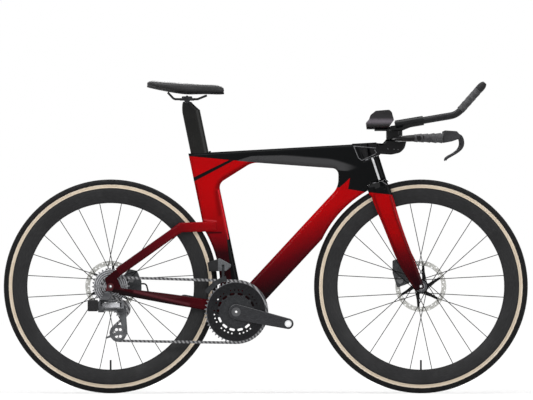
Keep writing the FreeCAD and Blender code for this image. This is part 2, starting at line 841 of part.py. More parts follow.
def seatstay():
    """The left seatstay: straight up from the dropout, then level past the tyre to the seat tube."""
    foot = REAR_AXLE + AHEAD * S.seatstay_foot_back + UP * S.seatstay_foot_rise
    kink = BRACKET - AHEAD * S.seatstay_kink_back + UP * S.seatstay_kink_rise
    end = BRACKET - AHEAD * S.seatstay_end_back + UP * S.seatstay_end_rise
    slope = (kink - foot).normalize()
    level = (end - kink).normalize()
    sections = []
    for way, inward, growth in SEATSTAY_SLOPE_SHARES:
        spread = between(DROPOUT_MIDDLE, S.seatstay_spread_front, inward)
        width = between(S.seatstay_width_rear, S.seatstay_width_front, growth)
        sections.append(stay_section(between(foot, kink, way), slope, spread, S.seatstay_depth, width))
    for way, inward in SEATSTAY_LEVEL_SHARES:
        heading = level if way else (slope + level).normalize()
        spread = between(S.seatstay_spread_front, S.seatstay_spread_end, inward)
        sections.append(stay_section(between(kink, end, way), heading, spread, S.seatstay_bridge_depth,
                                     S.seatstay_width_front))
    return loft(sections, True)


axle_hole = cylinder(REAR_AXLE, LEFT, S.axle_radius + S.running_gap, S.wheelbase)
rear_blade = dropout()
chainstay_shape = chainstay().fuse(rear_blade).cut([frame_shape, axle_hole])
seatstay_shape = seatstay().cut([frame_shape, chainstay_shape, rear_blade])
keep_shape("chainstays", pair(chainstay_shape))
keep_shape("seatstays", pair(seatstay_shape))


# Derailleur hanger
HANGER_TAPER_SHARE = 0.9
HANGER_FACE = -DROPOUT_INNER - S.dropout_thickness
HANGER_BOLT = REAR_AXLE - AHEAD * S.hanger_back - UP * S.hanger_drop


def tapered_plate(first, first_radius, second, second_radius, low, high):
    """A plate round two circles and the straight flanks between them."""
    span = second - first
    lean = math.acos((first_radius - second_radius) / span.Length)
    heading = math.atan2(span.z, span.x)

    def rim(centre, radius, turn):
        return centre + Vector(math.cos(turn), 0, math.sin(turn)) * radius

    left_start = rim(first, first_radius, heading + lean)
    left_end = rim(second, second_radius, heading + lean)
    right_start = rim(first, first_radius, heading - lean)
    right_end = rim(second, second_radius, heading - lean)
    wire = Part.Wire([
        Part.makeLine(left_start, left_end),
        Part.Arc(left_end, rim(second, second_radius, heading), right_end).toShape(),
        Part.makeLine(right_end, right_start),
        Part.Arc(right_start, rim(first, first_radius, heading + math.pi), left_start).toShape(),
    ])
    return slab(wire, low, high)


def derailleur_hanger():
    plate = tapered_plate(REAR_AXLE, S.hanger_radius, HANGER_BOLT, S.hanger_radius * HANGER_TAPER_SHARE,
                          HANGER_FACE - S.hanger_thickness, HANGER_FACE)
    bolt = cylinder(HANGER_BOLT, LEFT, S.hanger_bolt_radius, S.wheelbase)
    return plate.cut([axle_hole, bolt])


keep_shape("derailleur_hanger", derailleur_hanger())


# Bearings of the headset and the bottom bracket
def bearing(name, inner, outer, width, centre, axis):
    """A sealed cartridge bearing as one ring, centred on a point."""
    return turned(name, [(f"-({width})/2", inner), (f"({width})/2", inner),
                         (f"({width})/2", outer), (f"-({width})/2", outer)], centre, axis)


headset = [
    bearing("headset_lower", "steerer_radius + running_gap", "bearing_radius", "bearing_height",
            on_steerer(S.fork_length + S.bearing_height / 2, 0), STEER_UP),
    bearing("headset_upper", "steerer_radius + running_gap", "bearing_radius", "bearing_height",
            on_steerer(HEAD_TOP - S.bearing_height / 2, 0), STEER_UP),
]
cup_inset = S.bracket_shell_width / 2 - S.hub_bearing_width / 2
bracket_rings = [
    bearing(f"bracket_bearing_{name}", "spindle_radius + running_gap", "bracket_bore_radius",
            "hub_bearing_width", BRACKET + LEFT * (side * cup_inset), LEFT)
    for name, side in (("right", -1), ("left", 1))
]
keep("frame_bearings", group("frame_bearings", headset + bracket_rings))


# Seatpost, its wedge, and the saddle clamp
RAIL_CENTRE = on_seat(S.post_shoulder, -S.post_setback) + Vector(-S.post_head_radius, 0, S.rail_rise)
SADDLE_REAR = RAIL_CENTRE.x - S.saddle_setback
SADDLE_BASE = RAIL_CENTRE.z + S.saddle_rise
# The post's neck: its place on the way to the cradle, and its depth and width, as shares
POST_NECK_SHARE = 0.62
POST_NECK_DEPTH_SHARE = 0.36
POST_NECK_WIDTH_SHARE = 0.52
POST_HEAD_WIDTH_SHARE = 0.55
# The clamp's lid as a share of its cradle's length, and its bolts' length as a share of its height
CLAMP_LID_SHARE = 0.75
CLAMP_BOLT_SHARE = 2.6


def seatpost():
    """An aero post: straight in the frame, drawn in to the clamp's cradle at its head."""
    sections = [post_section(S.post_bottom, 0), post_section(S.post_shoulder, 0)]
    straight = loft(sections)
    cradle = RAIL_CENTRE - UP * (S.rail_radius + S.clamp_height / 2)
    neck = between(on_seat(S.post_shoulder, -S.post_setback), cradle, POST_NECK_SHARE)
    head = loft([
        post_section(S.post_shoulder, 0),
        oval(neck, AHEAD, LEFT, S.post_depth * POST_NECK_DEPTH_SHARE,
             S.post_width * POST_NECK_WIDTH_SHARE, POST_FULLNESS),
        oval(cradle, AHEAD, LEFT, S.post_head_radius, S.post_width * POST_HEAD_WIDTH_SHARE, POST_FULLNESS),
    ])
    return straight.fuse(head).cut(saddle_cradle_bore())


def saddle_cradle_bore():
    """The round seat across the post's head, which the clamp rocks in."""
    centre = RAIL_CENTRE - UP * S.rail_radius
    return cylinder(centre, LEFT, S.clamp_height, S.saddle_width)


def saddle_clamp():
    """The cradle and the top plate that hold the two rails, with their bolts."""
    half = S.clamp_length / 2
    rails = [Part.makeCylinder(S.rail_radius + S.running_gap, S.saddle_length,
                               RAIL_CENTRE - AHEAD * S.saddle_length / 2 + LEFT * side, AHEAD)
             for side in (-S.rail_half_spread, S.rail_half_spread)]
    split = S.seat_gap / 2
    width = 2 * S.clamp_half_width
    lower = cylinder(RAIL_CENTRE - UP * S.rail_radius, LEFT, S.clamp_height - S.seat_gap, width)
    tray = Part.makeBox(2 * half, width, S.clamp_height / 2,
                        RAIL_CENTRE + Vector(-half, -width / 2, -split - S.clamp_height / 2))
    lid = Part.makeBox(2 * CLAMP_LID_SHARE * half, width, S.clamp_height,
                       RAIL_CENTRE + Vector(-CLAMP_LID_SHARE * half, -width / 2, split))
    above = Part.makeBox(2 * S.clamp_length, 2 * width, S.clamp_length,
                         RAIL_CENTRE + Vector(-S.clamp_length, -width, -split))
    crest = RAIL_CENTRE.z + S.clamp_height
    lid = lid.makeFillet(S.clamp_height / 3, [edge for edge in lid.Edges if edge.CenterOfMass.z > crest])
    cradle = lower.fuse(tray).cut([above] + rails)
    bolts = [cylinder(RAIL_CENTRE + LEFT * side - UP * split, UP, S.clamp_bolt_radius,
                      CLAMP_BOLT_SHARE * S.clamp_height)
             for side in (-S.post_width / 4, S.post_width / 4)]
    return Part.makeCompound([cradle.cut(bolts), lid.cut(rails + bolts)] + bolts)


keep_shape("seatpost_wedge", wedge_block(-S.seat_gap))
keep_shape("seatpost", seatpost().cut(saddle_clamp()))
keep_shape("saddle_clamp", saddle_clamp())


# Fork
# Shares of the way down the blade, and of the change from the crown to the tip over that way
BLADE_WAY_SHARES = (0.0, 0.21, 0.47, 0.69, 0.90, 1.0)
BLADE_FRONT_SHARES = (0.0, 0.0, 0.03, 0.50, 0.95, 1.0)
BLADE_REAR_SHARES = (0.0, 0.06, 0.235, 0.40, 0.76, 1.0)
BLADE_SPREAD_SHARES = (0.0, 0.10, 0.38, 0.70, 0.97, 1.0)
FORK_INNER = S.axle_spacing_front / 2
# The crown's rear at its top, and how much of its height is kept round behind the steering axis, as shares
CROWN_TOP_SHARE = 0.85
CROWN_ROUND_SHARE = 0.9
TIP_SPREAD = FORK_INNER + S.blade_width_tip / 2


def steer_section(height, rear, front, side, half_width, fullness):
    """A section across the steering axis, between two distances ahead of it."""
    centre = on_steerer(height, (rear + front) / 2, side)
    return oval(centre, STEER_AHEAD, LEFT, (front - rear) / 2, half_width, fullness)


def fork_blade():
    """The left blade, from inside the crown to its tip."""
    rear_crown = S.blade_front_crown - S.blade_depth_crown
    rear_tip = S.blade_front_tip - S.blade_depth_tip
    sections = []
    for way, ahead, behind, spread in zip(BLADE_WAY_SHARES, BLADE_FRONT_SHARES, BLADE_REAR_SHARES,
                                          BLADE_SPREAD_SHARES):
        height = between(S.blade_top, -S.blade_foot, way)
        front = between(S.blade_front_crown, S.blade_front_tip, ahead)
        rear = between(rear_crown, rear_tip, behind)
        side = between(S.blade_spread_crown, TIP_SPREAD, spread)
        half_width = between(S.blade_width_crown, S.blade_width_tip, way) / 2
        sections.append(steer_section(height, rear, front, side, half_width, BLADE_FULLNESS))
    return loft(sections)


def fork_crown():
    """The crown: as wide as the head tube on top, spread over both blades below."""
    top = S.fork_length - S.slide_gap
    front = S.blade_front_crown + S.crown_lip
    rear = S.blade_front_crown - S.blade_depth_crown - S.crown_lip
    half_top = S.frame_half_width_head - S.slide_gap
    half_low = S.blade_spread_crown + S.blade_width_crown / 2 + S.crown_lip
    half_middle = (half_top + half_low) / 2
    crown = loft([
        steer_section(top, -S.crown_rear * CROWN_TOP_SHARE, S.head_nose, 0, half_top, CROWN_FULLNESS),
        steer_section(top - S.crown_height / 4, -S.crown_rear, front, 0, half_middle, CROWN_FULLNESS),
        steer_section(top - S.crown_height / 2, -S.crown_rear, front, 0, half_low, CROWN_FULLNESS),
        steer_section(top - S.crown_height, rear, front, 0, half_low, CROWN_FULLNESS),
    ])
    # Behind the steering axis the crown stays round it, so that it can turn in the frame's recess
    reach = 2 * half_low
    behind = Part.makeBox(reach, 2 * reach, S.crown_height, Vector(-reach, -reach, 0))
    foot = on_steerer(top - S.crown_height * CROWN_ROUND_SHARE, 0)
    behind.Placement = Placement(foot, Rotation(UP, STEER_UP))
    core = Part.makeCylinder(S.crown_rear, 2 * S.crown_height, on_steerer(top - S.crown_height, 0), STEER_UP)
    return crown.cut(behind.cut(core))


def fork():
    tyre_slot = cylinder(FRONT_AXLE, LEFT, WHEEL_CUT, 2 * S.tyre_slot_half_width)
    steerer_foot = math.sqrt(WHEEL_CUT ** 2 - S.fork_offset ** 2) + S.seat_gap
    steerer = Part.makeCylinder(S.steerer_radius, S.steerer_top - steerer_foot,
                                on_steerer(steerer_foot, 0), STEER_UP)
    blade = fork_blade().cut(below_joint())
    whole = fork_crown().cut(tyre_slot).fuse([steerer, blade, mirrored(blade)])
    return whole.cut(hub_room())


def hub_room():
    """The space between the blades that the hub and the rotor need."""
    return cylinder(FRONT_AXLE, LEFT, S.rotor_radius, S.axle_spacing_front)


def below_joint():
    """Everything below the joints between the blades and their bonded tips."""
    joint = FRONT_AXLE + STEER_UP * S.fork_tip_height
    return brick(joint - STEER_UP * (S.fork_length / 2), (STEER_AHEAD, LEFT, STEER_UP),
                 (S.fork_length, S.fork_length, S.fork_length))


def fork_tip():
    """The left blade's bonded tip, with the eye for the axle."""
    eye = Part.makeCylinder(S.fork_tip_radius, S.blade_width_tip, FRONT_AXLE + LEFT * FORK_INNER, LEFT)
    axle = cylinder(FRONT_AXLE, LEFT, S.axle_radius + S.running_gap, S.wheelbase)
    return fork_blade().common(below_joint()).fuse(eye).cut([hub_room(), axle])


fork_shape = fork()
keep_shape("fork", fork_shape)
tip_shapes = pair(fork_tip())
keep_shape("fork_tips", tip_shapes)


# Wheels
RIM_INNER = S.rim_outer_radius - S.rim_depth


def rim(name, centre):
    """A deep aero rim: round nose, bulged walls, and a well that the tyre sits in."""
    half = "rim_width / 2"
    inner = "rim_outer_radius - rim_depth"
    well = "rim_outer_radius - rim_well_depth"
    return turned(name, [
        ("-rim_nose_radius * 0.8", f"{inner} + rim_nose_radius * 0.6", "-rim_nose_radius / 1.2"),
        ("rim_nose_radius * 0.8", f"{inner} + rim_nose_radius * 0.6", "-rim_depth * 2.4"),
        (half, "rim_outer_radius - rim_well_depth * 1.4"),
        (f"{half} - rim_wall / 3", "rim_outer_radius"),
        (f"{half} - rim_wall", "rim_outer_radius"),
        (f"{half} - rim_wall", well),
        (f"-{half} + rim_wall", well),
        (f"-{half} + rim_wall", "rim_outer_radius"),
        (f"-{half} + rim_wall / 3", "rim_outer_radius"),
        (f"-{half}", "rim_outer_radius - rim_well_depth * 1.4", "-rim_depth * 2.4"),
    ], centre, LEFT)


def tyre(name, centre):
    """A clincher tyre: beads in the rim's well, round tread outside."""
    bead = "rim_width / 2 - rim_wall - seat_gap"
    low = "rim_outer_radius - tyre_seat_depth"
    equator = "tyre_radius - tyre_width / 2"
    return turned(name, [
        (f"-({bead})", low),
        (bead, low),
        (bead, "rim_outer_radius + seat_gap", "-tyre_width"),
        ("tyre_width / 2", equator, "-tyre_width / 2 * 1.0001"),
        ("0", "tyre_radius", "-tyre_width / 2 * 1.0001"),
        ("-tyre_width / 2", equator, "-tyre_width"),
        (f"-({bead})", "rim_outer_radius + seat_gap"),
    ], centre, LEFT)


def valve(centre):
    foot = RIM_INNER - S.valve_length
    return Part.makeCylinder(S.valve_radius, S.valve_length - S.seat_gap, centre - UP * foot, UP * -1)


def spoke(start, end):
    """One bladed spoke, flat in the wheel's plane."""
    run = (end - start).normalize()
    flat = run.cross(LEFT).normalize()
    thin = run.cross(flat).normalize() * (S.spoke_thickness / 2)
    reach = flat * (S.spoke_width / 2)
    edges = [
        Part.Arc(start - reach, start + thin, start + reach).toShape(),
        Part.Arc(start + reach, start - thin, start - reach).toShape(),
    ]
    return Part.Face(Part.Wire(edges)).extrude(end - start)


def spokes(centre, left, right):
    """Tangent spokes, crossed on each side and laid over and under each other."""
    solids = []
    reach = S.flange_radius + S.spoke_width / 2 + S.seat_gap
    lean = math.acos(reach / (RIM_INNER - S.seat_gap))
    for rank in range(SPOKES):
        angle = 2 * math.pi * (rank + 0.5) / SPOKES
        side = (left, -right)[rank % 2]
        turn = (1, -1)[rank // 2 % 2]
        lift = turn * S.spoke_lacing_gap / 2
        rim_point = Vector(math.cos(angle), 0, math.sin(angle)) * (RIM_INNER - S.seat_gap)
        root = angle + turn * lean
        hub_point = Vector(math.cos(root), 0, math.sin(root)) * reach
        solids.append(spoke(centre + hub_point + LEFT * (side + lift), centre + rim_point))
    return Part.makeCompound(solids)


def hub_profile(left, right, ends, rotor_face):
    """The hub shell from right to left: flanges, waist, bearing seats and rotor spline."""
    half = "flange_thickness / 2"
    seat = "hub_bearing_width"
    return [
        (f"-({ends})", "hub_bearing_radius"),
        (f"-({ends})", "hub_waist_radius"),
        (f"-({right}) - {half}", "hub_waist_radius"),
        (f"-({right}) - {half}", "flange_radius"),
        (f"-({right}) + {half}", "flange_radius"),
        (f"-({right}) + flange_thickness * 1.6", "hub_waist_radius"),
        (f"({left}) - flange_thickness * 1.6", "hub_waist_radius"),
        (f"({left}) - {half}", "flange_radius"),
        (f"({left}) + {half}", "flange_radius"),
        (f"({left}) + {half}", "lockring_radius"),
        (rotor_face, "lockring_radius"),
        (rotor_face, "hub_waist_radius"),
        (ends, "hub_waist_radius"),
        (ends, "hub_bearing_radius"),
        (f"({ends}) - {seat}", "hub_bearing_radius"),
        (f"({ends}) - {seat}", "hub_bore_radius"),
        (f"-({ends}) + {seat}", "hub_bore_radius"),
        (f"-({ends}) + {seat}", "hub_bearing_radius"),
    ]


def hub(name, centre, left, right, ends, rotor_face):
    """The hub shell and its two cartridge bearings."""
    shell = turned(f"{name}_shell", hub_profile(left, right, ends, rotor_face), centre, LEFT)
    items = [shell]
    offset = value_of(f"({ends}) - hub_bearing_width / 2")
    for side in (-1, 1):
        place = centre + LEFT * (side * offset)
        items.append(bearing(f"{name}_bearing_{'left' if side > 0 else 'right'}", "axle_radius + running_gap",
                             "hub_bearing_radius", "hub_bearing_width", place, LEFT))
    return group(name, items)


def axle_profile(spacing, tip_length, head_start):
    """A through axle from its threaded right end to its head, with the hub's end caps on it."""
    cap = f"({spacing}) / 2"
    return [
        (f"-({tip_length})", "axle_bore_radius"),
        (f"-({tip_length})", "axle_radius"),
        (f"-{cap} + running_gap", "axle_radius"),
        (f"-{cap} + running_gap", "end_cap_radius"),
        (f"-{cap} + end_cap_length", "end_cap_radius"),
        (f"-{cap} + end_cap_length", "axle_radius"),
        (f"{cap} - end_cap_length", "axle_radius"),
        (f"{cap} - end_cap_length", "end_cap_radius"),
        (f"{cap} - running_gap", "end_cap_radius"),
        (f"{cap} - running_gap", "axle_radius"),
        (head_start, "axle_radius"),
        (head_start, "axle_head_radius"),
        (f"{head_start} + axle_head_height", "axle_head_radius"),
        (f"{head_start} + axle_head_height", "axle_bore_radius"),
    ]


front_ends = "axle_spacing_front / 2 - end_cap_length - slide_gap"
rear_ends = "axle_spacing_rear / 2 - end_cap_length - slide_gap"
front_rotor_side = "axle_spacing_front / 2 - rotor_inset_front"
rear_rotor_side = "axle_spacing_rear / 2 - rotor_inset_rear"

for name, centre, left, right in (("front", FRONT_AXLE, S.front_flange_left, S.front_flange_right),
                                  ("rear", REAR_AXLE, S.rear_flange_left, S.rear_flange_right)):
    keep(f"{name}_tyre", tyre(f"{name}_tyre", centre))
    keep(f"{name}_rim", group(f"{name}_rim", [rim(f"{name}_rim_hoop", centre),
                                              feature(f"{name}_valve", valve(centre))]))
    keep_shape(f"{name}_spokes", spokes(centre, left, right))

keep("front_hub", hub("front_hub", FRONT_AXLE, "front_flange_left", "front_flange_right", front_ends,
                      f"{front_rotor_side} - rotor_thickness / 2"))
keep("rear_hub", hub("rear_hub", REAR_AXLE, "rear_flange_left", "rear_flange_right", rear_ends,
                     f"{rear_rotor_side} - rotor_thickness / 2"))
keep("front_axle", turned("front_axle", axle_profile(
    "axle_spacing_front", "axle_spacing_front / 2 + blade_width_tip",
    "axle_spacing_front / 2 + blade_width_tip + running_gap"), FRONT_AXLE, LEFT))
keep("rear_axle", turned("rear_axle", axle_profile(
    "axle_spacing_rear", "axle_spacing_rear / 2 + dropout_thickness + hanger_thickness",
    "axle_spacing_rear / 2 + dropout_thickness + running_gap"), REAR_AXLE, LEFT))


# Places of the cockpit's pieces, which go with the top of the head tube
STEM_BACK = HEAD.x + S.stem_back
STEM_FRONT = HEAD.x + S.stem_front
STEM_BOTTOM = HEAD.z + S.stem_bottom
STEM_TOP = HEAD.z + S.stem_top
WING_HEIGHT = HEAD.z + S.wing_height
HORN_HEIGHT = HEAD.z + S.horn_height
HORN_END = HEAD.x + S.horn_end
TAPE_BACK = HEAD.x + S.tape_back
RISER_BACK = HEAD.x + S.riser_back
RISER_TOP = HEAD.z + S.riser_top
EXTENSION_BACK = HEAD.x + S.extension_back
EXTENSION_HEIGHT = HEAD.z + S.extension_height
CUP_BACK = HEAD.x + S.cup_back
CUP_BOTTOM = HEAD.z + S.cup_bottom

# Base bar with its stem, and the tape on its grips
# Corners of the stem's side outline, in shares of its length and height, with their roundings as shares
STEM_SHARES = ((0.0, 0.03), (0.48, -0.03), (0.79, 0.10), (0.94, 0.40), (1.0, 0.84), (0.94, 1.0), (0.31, 1.0),
               (0.18, 0.71), (-0.02, 0.74))
STEM_ROUND_SHARES = (0.10, 0.60, 0.55, 0.50, 0.12, 0.08, 0.08, 0.15, 0.02)
# Along the bar: ahead of the wing, out to the side, heading from sideways to ahead, wing shape left
BAR_AHEAD_SHARES = (0.0, 0.0, 0.03, 0.145, 0.35, 0.65, 1.0)
BAR_SIDE_SHARES = (0.0, 0.45, 0.74, 0.93, 1.0, 1.0, 1.0)
BAR_HEADING_ANGLES = (0.0, 2.0, 16.0, 48.0, 84.0, 90.0, 90.0)
BAR_WING_SHARES = (1.0, 0.9, 0.72, 0.36, 0.06, 0.0, 0.0)
WING_SETBACK_SHARE = 0.55
WING_AHEAD = STEM_FRONT - S.wing_chord * WING_SETBACK_SHARE


def stem_block():
    """The stem's fairing between the head tube and the bar."""
    length = STEM_FRONT - STEM_BACK
    height = STEM_TOP - STEM_BOTTOM
    corners = [Vector(STEM_BACK + ahead * length, 0, STEM_BOTTOM + rise * height)
               for ahead, rise in STEM_SHARES]
    wire = rounded_wire(corners, [share * height for share in STEM_ROUND_SHARES])
    return soften(slab(wire, -S.stem_half_width, S.stem_half_width), S.stem_edge_radius)


def stem_column():
    """The stem's foot: round about the steering axis behind, widening ahead of it to the fairing."""
    foot = HEAD_TOP + S.slide_gap
    top = HEAD_TOP + S.cone_height
    cone = Part.makeCone(S.cone_base_radius, S.cone_top_radius, S.cone_height - S.slide_gap,
                         on_steerer(foot, 0), STEER_UP)
    head = Part.makeCylinder(S.cone_top_radius, S.cone_height, on_steerer(top, 0), STEER_UP)
    half = S.frame_half_width_head - S.slide_gap
    start = 2 * S.slide_gap
    front = S.head_nose + S.overrun
    plan = [(start, 0), (start + S.stem_half_width, S.stem_half_width), (front, S.stem_half_width),
            (front, -S.stem_half_width), (start + S.stem_half_width, -S.stem_half_width), (start, 0)]
    wedge = Part.Face(Part.makePolygon([on_steerer(foot, ahead, side) for ahead, side in plan]))
    wedge = wedge.extrude(STEER_UP * (2 * S.cone_height))
    crest = TOP_REAR + polar(S.top_tube_rise_angle + 90) * S.cap_rise
    reach = TOP_TUBE * S.wheelbase
    drop = UP * S.wheelbase
    below = Part.makePolygon([crest, crest + reach, crest + reach - drop, crest - drop, crest])
    return cone.fuse([head, wedge]).common(slab(below, -half, half))


def bar_half():
    """The left half of the bar: a flat wing that turns into a round horn."""
    sections = []
    tables = zip(BAR_AHEAD_SHARES, BAR_SIDE_SHARES, BAR_HEADING_ANGLES, BAR_WING_SHARES)
    for ahead, side, angle, wing in tables:
        centre = Vector(between(WING_AHEAD, HORN_END, ahead), S.bar_half_width * side,
                        between(HORN_HEIGHT, WING_HEIGHT, wing))
        turn = math.radians(angle)
        across = Vector(math.cos(turn), -math.sin(turn), 0)
        half_chord = between(S.horn_radius, S.wing_chord / 2, wing)
        half_height = between(S.horn_radius, S.wing_thickness / 2, wing)
        sections.append(oval(centre, across, UP, half_chord, half_height, ROUND_FULLNESS))
    return loft(sections)


def base_bar():
    half = bar_half()
    bore = Part.makeCylinder(S.steerer_radius + S.running_gap,
                             S.steerer_top - HEAD_TOP + S.overrun + S.running_gap,
                             on_steerer(HEAD_TOP - S.overrun, 0), STEER_UP)
    return stem_block().fuse([stem_column(), half, mirrored(half)]).cut(bore)


def bar_tape():
    """The tape on the left horn, which thickens towards the lever."""
    start = Vector(TAPE_BACK, S.bar_half_width, HORN_HEIGHT)
    length = HORN_END - TAPE_BACK
    sleeve = Part.makeCone(S.tape_back_radius, S.tape_front_radius, length, start, AHEAD)
    bore = Part.makeCylinder(S.horn_radius + S.seat_gap, length + 2 * S.overrun,
                             start - AHEAD * S.overrun, AHEAD)
    return sleeve.cut(bore)


# Extensions with their grips, and the riser that carries them and the arm rests
EXTENSION_START = Vector(EXTENSION_BACK, S.extension_spread, EXTENSION_HEIGHT)
EXTENSION_RUN = polar(S.extension_rise_angle)
EXTENSION_BEND = EXTENSION_START + EXTENSION_RUN * S.extension_run
GRIP_RUN = polar(S.grip_rise_angle)
GRIP_END = EXTENSION_BEND + GRIP_RUN * S.grip_length


def extension():
    """The left extension: a bent tube that ends at the shifter."""
    return bent_tube([EXTENSION_START, EXTENSION_BEND, GRIP_END], [S.grip_bend_radius], S.extension_radius)


def extension_grip():
    """The tape round the raised end of the left extension."""
    turn = math.radians(S.grip_rise_angle - S.extension_rise_angle)
    start = EXTENSION_BEND + GRIP_RUN * (S.grip_bend_radius * math.tan(turn / 2))
    length = (GRIP_END - start).Length
    sleeve = Part.makeCylinder(S.extension_radius + S.grip_tape_thickness, length, start, GRIP_RUN)
    bore = Part.makeCylinder(S.extension_radius + S.running_gap, length + 2 * S.overrun,
                             start - GRIP_RUN * S.overrun, GRIP_RUN)
    return sleeve.cut(bore)


# Where the plate under the arm rests starts, as a share of the cups' length
PLATE_BACK_SHARE = 0.30
# Corners of the bridge under the extensions, in shares of the sleeves' length and the riser's height
BRIDGE_SHARES = ((-0.18, -0.35), (0.26, -0.33), (0.62, 0.0), (0.62, 0.28), (-0.18, 0.05))


def upright_edges(solid):
    level = math.cos(math.radians(1))
    return [edge for edge in solid.Edges if abs(edge.tangentAt(edge.FirstParameter).z) > level]


def armrest_riser():
    """One column on the stem, a bridge with two sleeves, and the plate under the arm rests."""
    height = RISER_TOP - STEM_TOP - S.seat_gap
    column = Part.makeBox(S.riser_length, 2 * S.riser_half_width, height,
                          Vector(RISER_BACK, -S.riser_half_width, STEM_TOP + S.seat_gap))
    column = column.makeFillet(S.riser_edge_radius * 2, upright_edges(column))
    start = EXTENSION_START + EXTENSION_RUN * (S.clamp_wall / 2)
    sleeve = Part.makeCylinder(S.extension_radius + S.clamp_wall, S.sleeve_length, start, EXTENSION_RUN)
    foot = Vector(EXTENSION_BACK, 0, RISER_TOP)
    corners = [foot + AHEAD * (ahead * S.sleeve_length) + UP * (rise * height)
               for ahead, rise in BRIDGE_SHARES]
    reach = S.extension_spread + S.extension_radius
    bridge = moulded(corners, S.riser_edge_radius / 2, -reach, reach, S.riser_edge_radius / 3)
    plate_back = CUP_BACK + S.cup_length * PLATE_BACK_SHARE
    plate_length = RISER_BACK + S.riser_edge_radius * 2 - plate_back
    plate_side = S.cup_spread + S.bracket_width / 2
    plate = Part.makeBox(plate_length, 2 * plate_side, S.bracket_plate,
                         Vector(plate_back, -plate_side, CUP_BOTTOM - S.bracket_plate - S.seat_gap))
    plate = plate.makeFillet(S.riser_edge_radius, upright_edges(plate))
    bore = Part.makeCylinder(S.extension_radius + S.running_gap, S.sleeve_length + S.extension_run,
                             EXTENSION_START - EXTENSION_RUN * S.overrun, EXTENSION_RUN)
    whole = column.fuse([bridge, plate, sleeve, mirrored(sleeve)])
    return whole.cut([bore, mirrored(bore)])


# Arm rests
# Corners of an arm cup seen from the side, in shares of its length and of its height
CUP_SHARES = ((0.03, 0.0), (0.72, 0.0), (0.99, 0.52), (0.91, 0.89), (0.82, 1.0), (0.34, 0.95), (0.17, 0.77),
              (0.11, 0.55), (0.0, 0.40))


# The pad's two ends along the cup, then its thickness on the way between them, as shares
PAD_END_SHARES = (0.08, 0.80)
PAD_WAY_SHARES = (0.0, 0.2, 0.5, 0.8, 1.0)
PAD_FILL_SHARES = (0.55, 0.95, 1.0, 0.95, 0.55)
PAD_SPREAD_ANGLE = 62


def trough(radius, wall, rise):
    """The left cup's section swept along it: a half round with raised sides."""
    heart = Vector(CUP_BACK - S.overrun, S.cup_spread, CUP_BOTTOM + S.cup_half_width)
    outer, inner = radius, radius - wall

    def rim(reach, side):
        return heart + LEFT * (reach * side) + UP * rise

    edges = [
        Part.Arc(heart + LEFT * outer, heart - UP * outer, heart - LEFT * outer).toShape(),
        Part.makeLine(heart - LEFT * outer, rim(outer, -1)),
        Part.makeLine(rim(outer, -1), rim(inner, -1)),
        Part.makeLine(rim(inner, -1), heart - LEFT * inner),
        Part.Arc(heart - LEFT * inner, heart - UP * inner, heart + LEFT * inner).toShape(),
        Part.makeLine(heart + LEFT * inner, rim(inner, 1)),
        Part.makeLine(rim(inner, 1), rim(outer, 1)),
        Part.makeLine(rim(outer, 1), heart + LEFT * outer),
    ]
    return Part.Face(Part.Wire(edges)).extrude(AHEAD * (S.cup_length + 2 * S.overrun))


def cup_outline(inset):
    """The cup's side outline, drawn in by an inset."""
    height = S.cup_depth + S.cup_wall + S.cup_pad_thickness
    corners = []
    for ahead, rise in CUP_SHARES:
        corners.append(Vector(between(CUP_BACK + inset, CUP_BACK + S.cup_length - inset, ahead), 0,
                              between(CUP_BOTTOM - S.overrun, CUP_BOTTOM + height - inset, rise)))
    return slab(rounded_wire(corners, [S.cup_wall * 2] * len(corners)), 0, S.wheelbase)


def arm_cup():
    return trough(S.cup_half_width, S.cup_wall, S.cup_half_width).common(cup_outline(0))


def arm_pad_section(ahead, fill):
    """Half of the pad's crossways shape at a place along the cup: thick below, thin at its rims."""
    heart = Vector(ahead, S.cup_spread, CUP_BOTTOM + S.cup_half_width)
    outer = S.cup_half_width - S.cup_wall - S.slide_gap
    thick = S.cup_pad_thickness * fill
    spread = math.radians(PAD_SPREAD_ANGLE)
    rim_out = Vector(0, math.sin(spread), -math.cos(spread))
    rim_in = Vector(0, -math.sin(spread), -math.cos(spread))
    edges = [
        Part.Arc(heart + rim_in * outer, heart - UP * outer, heart + rim_out * outer).toShape(),
        Part.makeLine(heart + rim_out * outer, heart + rim_out * (outer - thick / 2)),
        Part.Arc(heart + rim_out * (outer - thick / 2), heart - UP * (outer - thick),
                 heart + rim_in * (outer - thick / 2)).toShape(),
        Part.makeLine(heart + rim_in * (outer - thick / 2), heart + rim_in * outer),
    ]
    return Part.Wire(edges)


def arm_pad():
    """A padded liner, fullest at mid length and thinner at both ends."""
    rear, front = [CUP_BACK + S.cup_length * share for share in PAD_END_SHARES]
    return loft([arm_pad_section(between(rear, front, way), fill)
                 for way, fill in zip(PAD_WAY_SHARES, PAD_FILL_SHARES)])


# Brake levers and shifters
# The lever's pivot, in shares of its body's length and height from the end of the horn
LEVER_PIVOT_SHARES = (0.86, 0.22)
LEVER_PIVOT = Vector(HORN_END + S.lever_body_length * LEVER_PIVOT_SHARES[0], S.bar_half_width,
                     HORN_HEIGHT + S.lever_body_height * LEVER_PIVOT_SHARES[1])
# Corners of the lever body, in the same shares
LEVER_BODY_SHARES = ((0.0, -0.46), (0.0, 0.64), (0.12, 0.69), (0.84, 0.62), (1.05, 0.30), (1.05, -0.06),
                     (0.60, -0.30))
# The room behind the pivot, as a share of the body's length, and the lever's boss, of its thickness
LEVER_ROOM_SHARE = 0.34
LEVER_BOSS_SHARE = 0.78
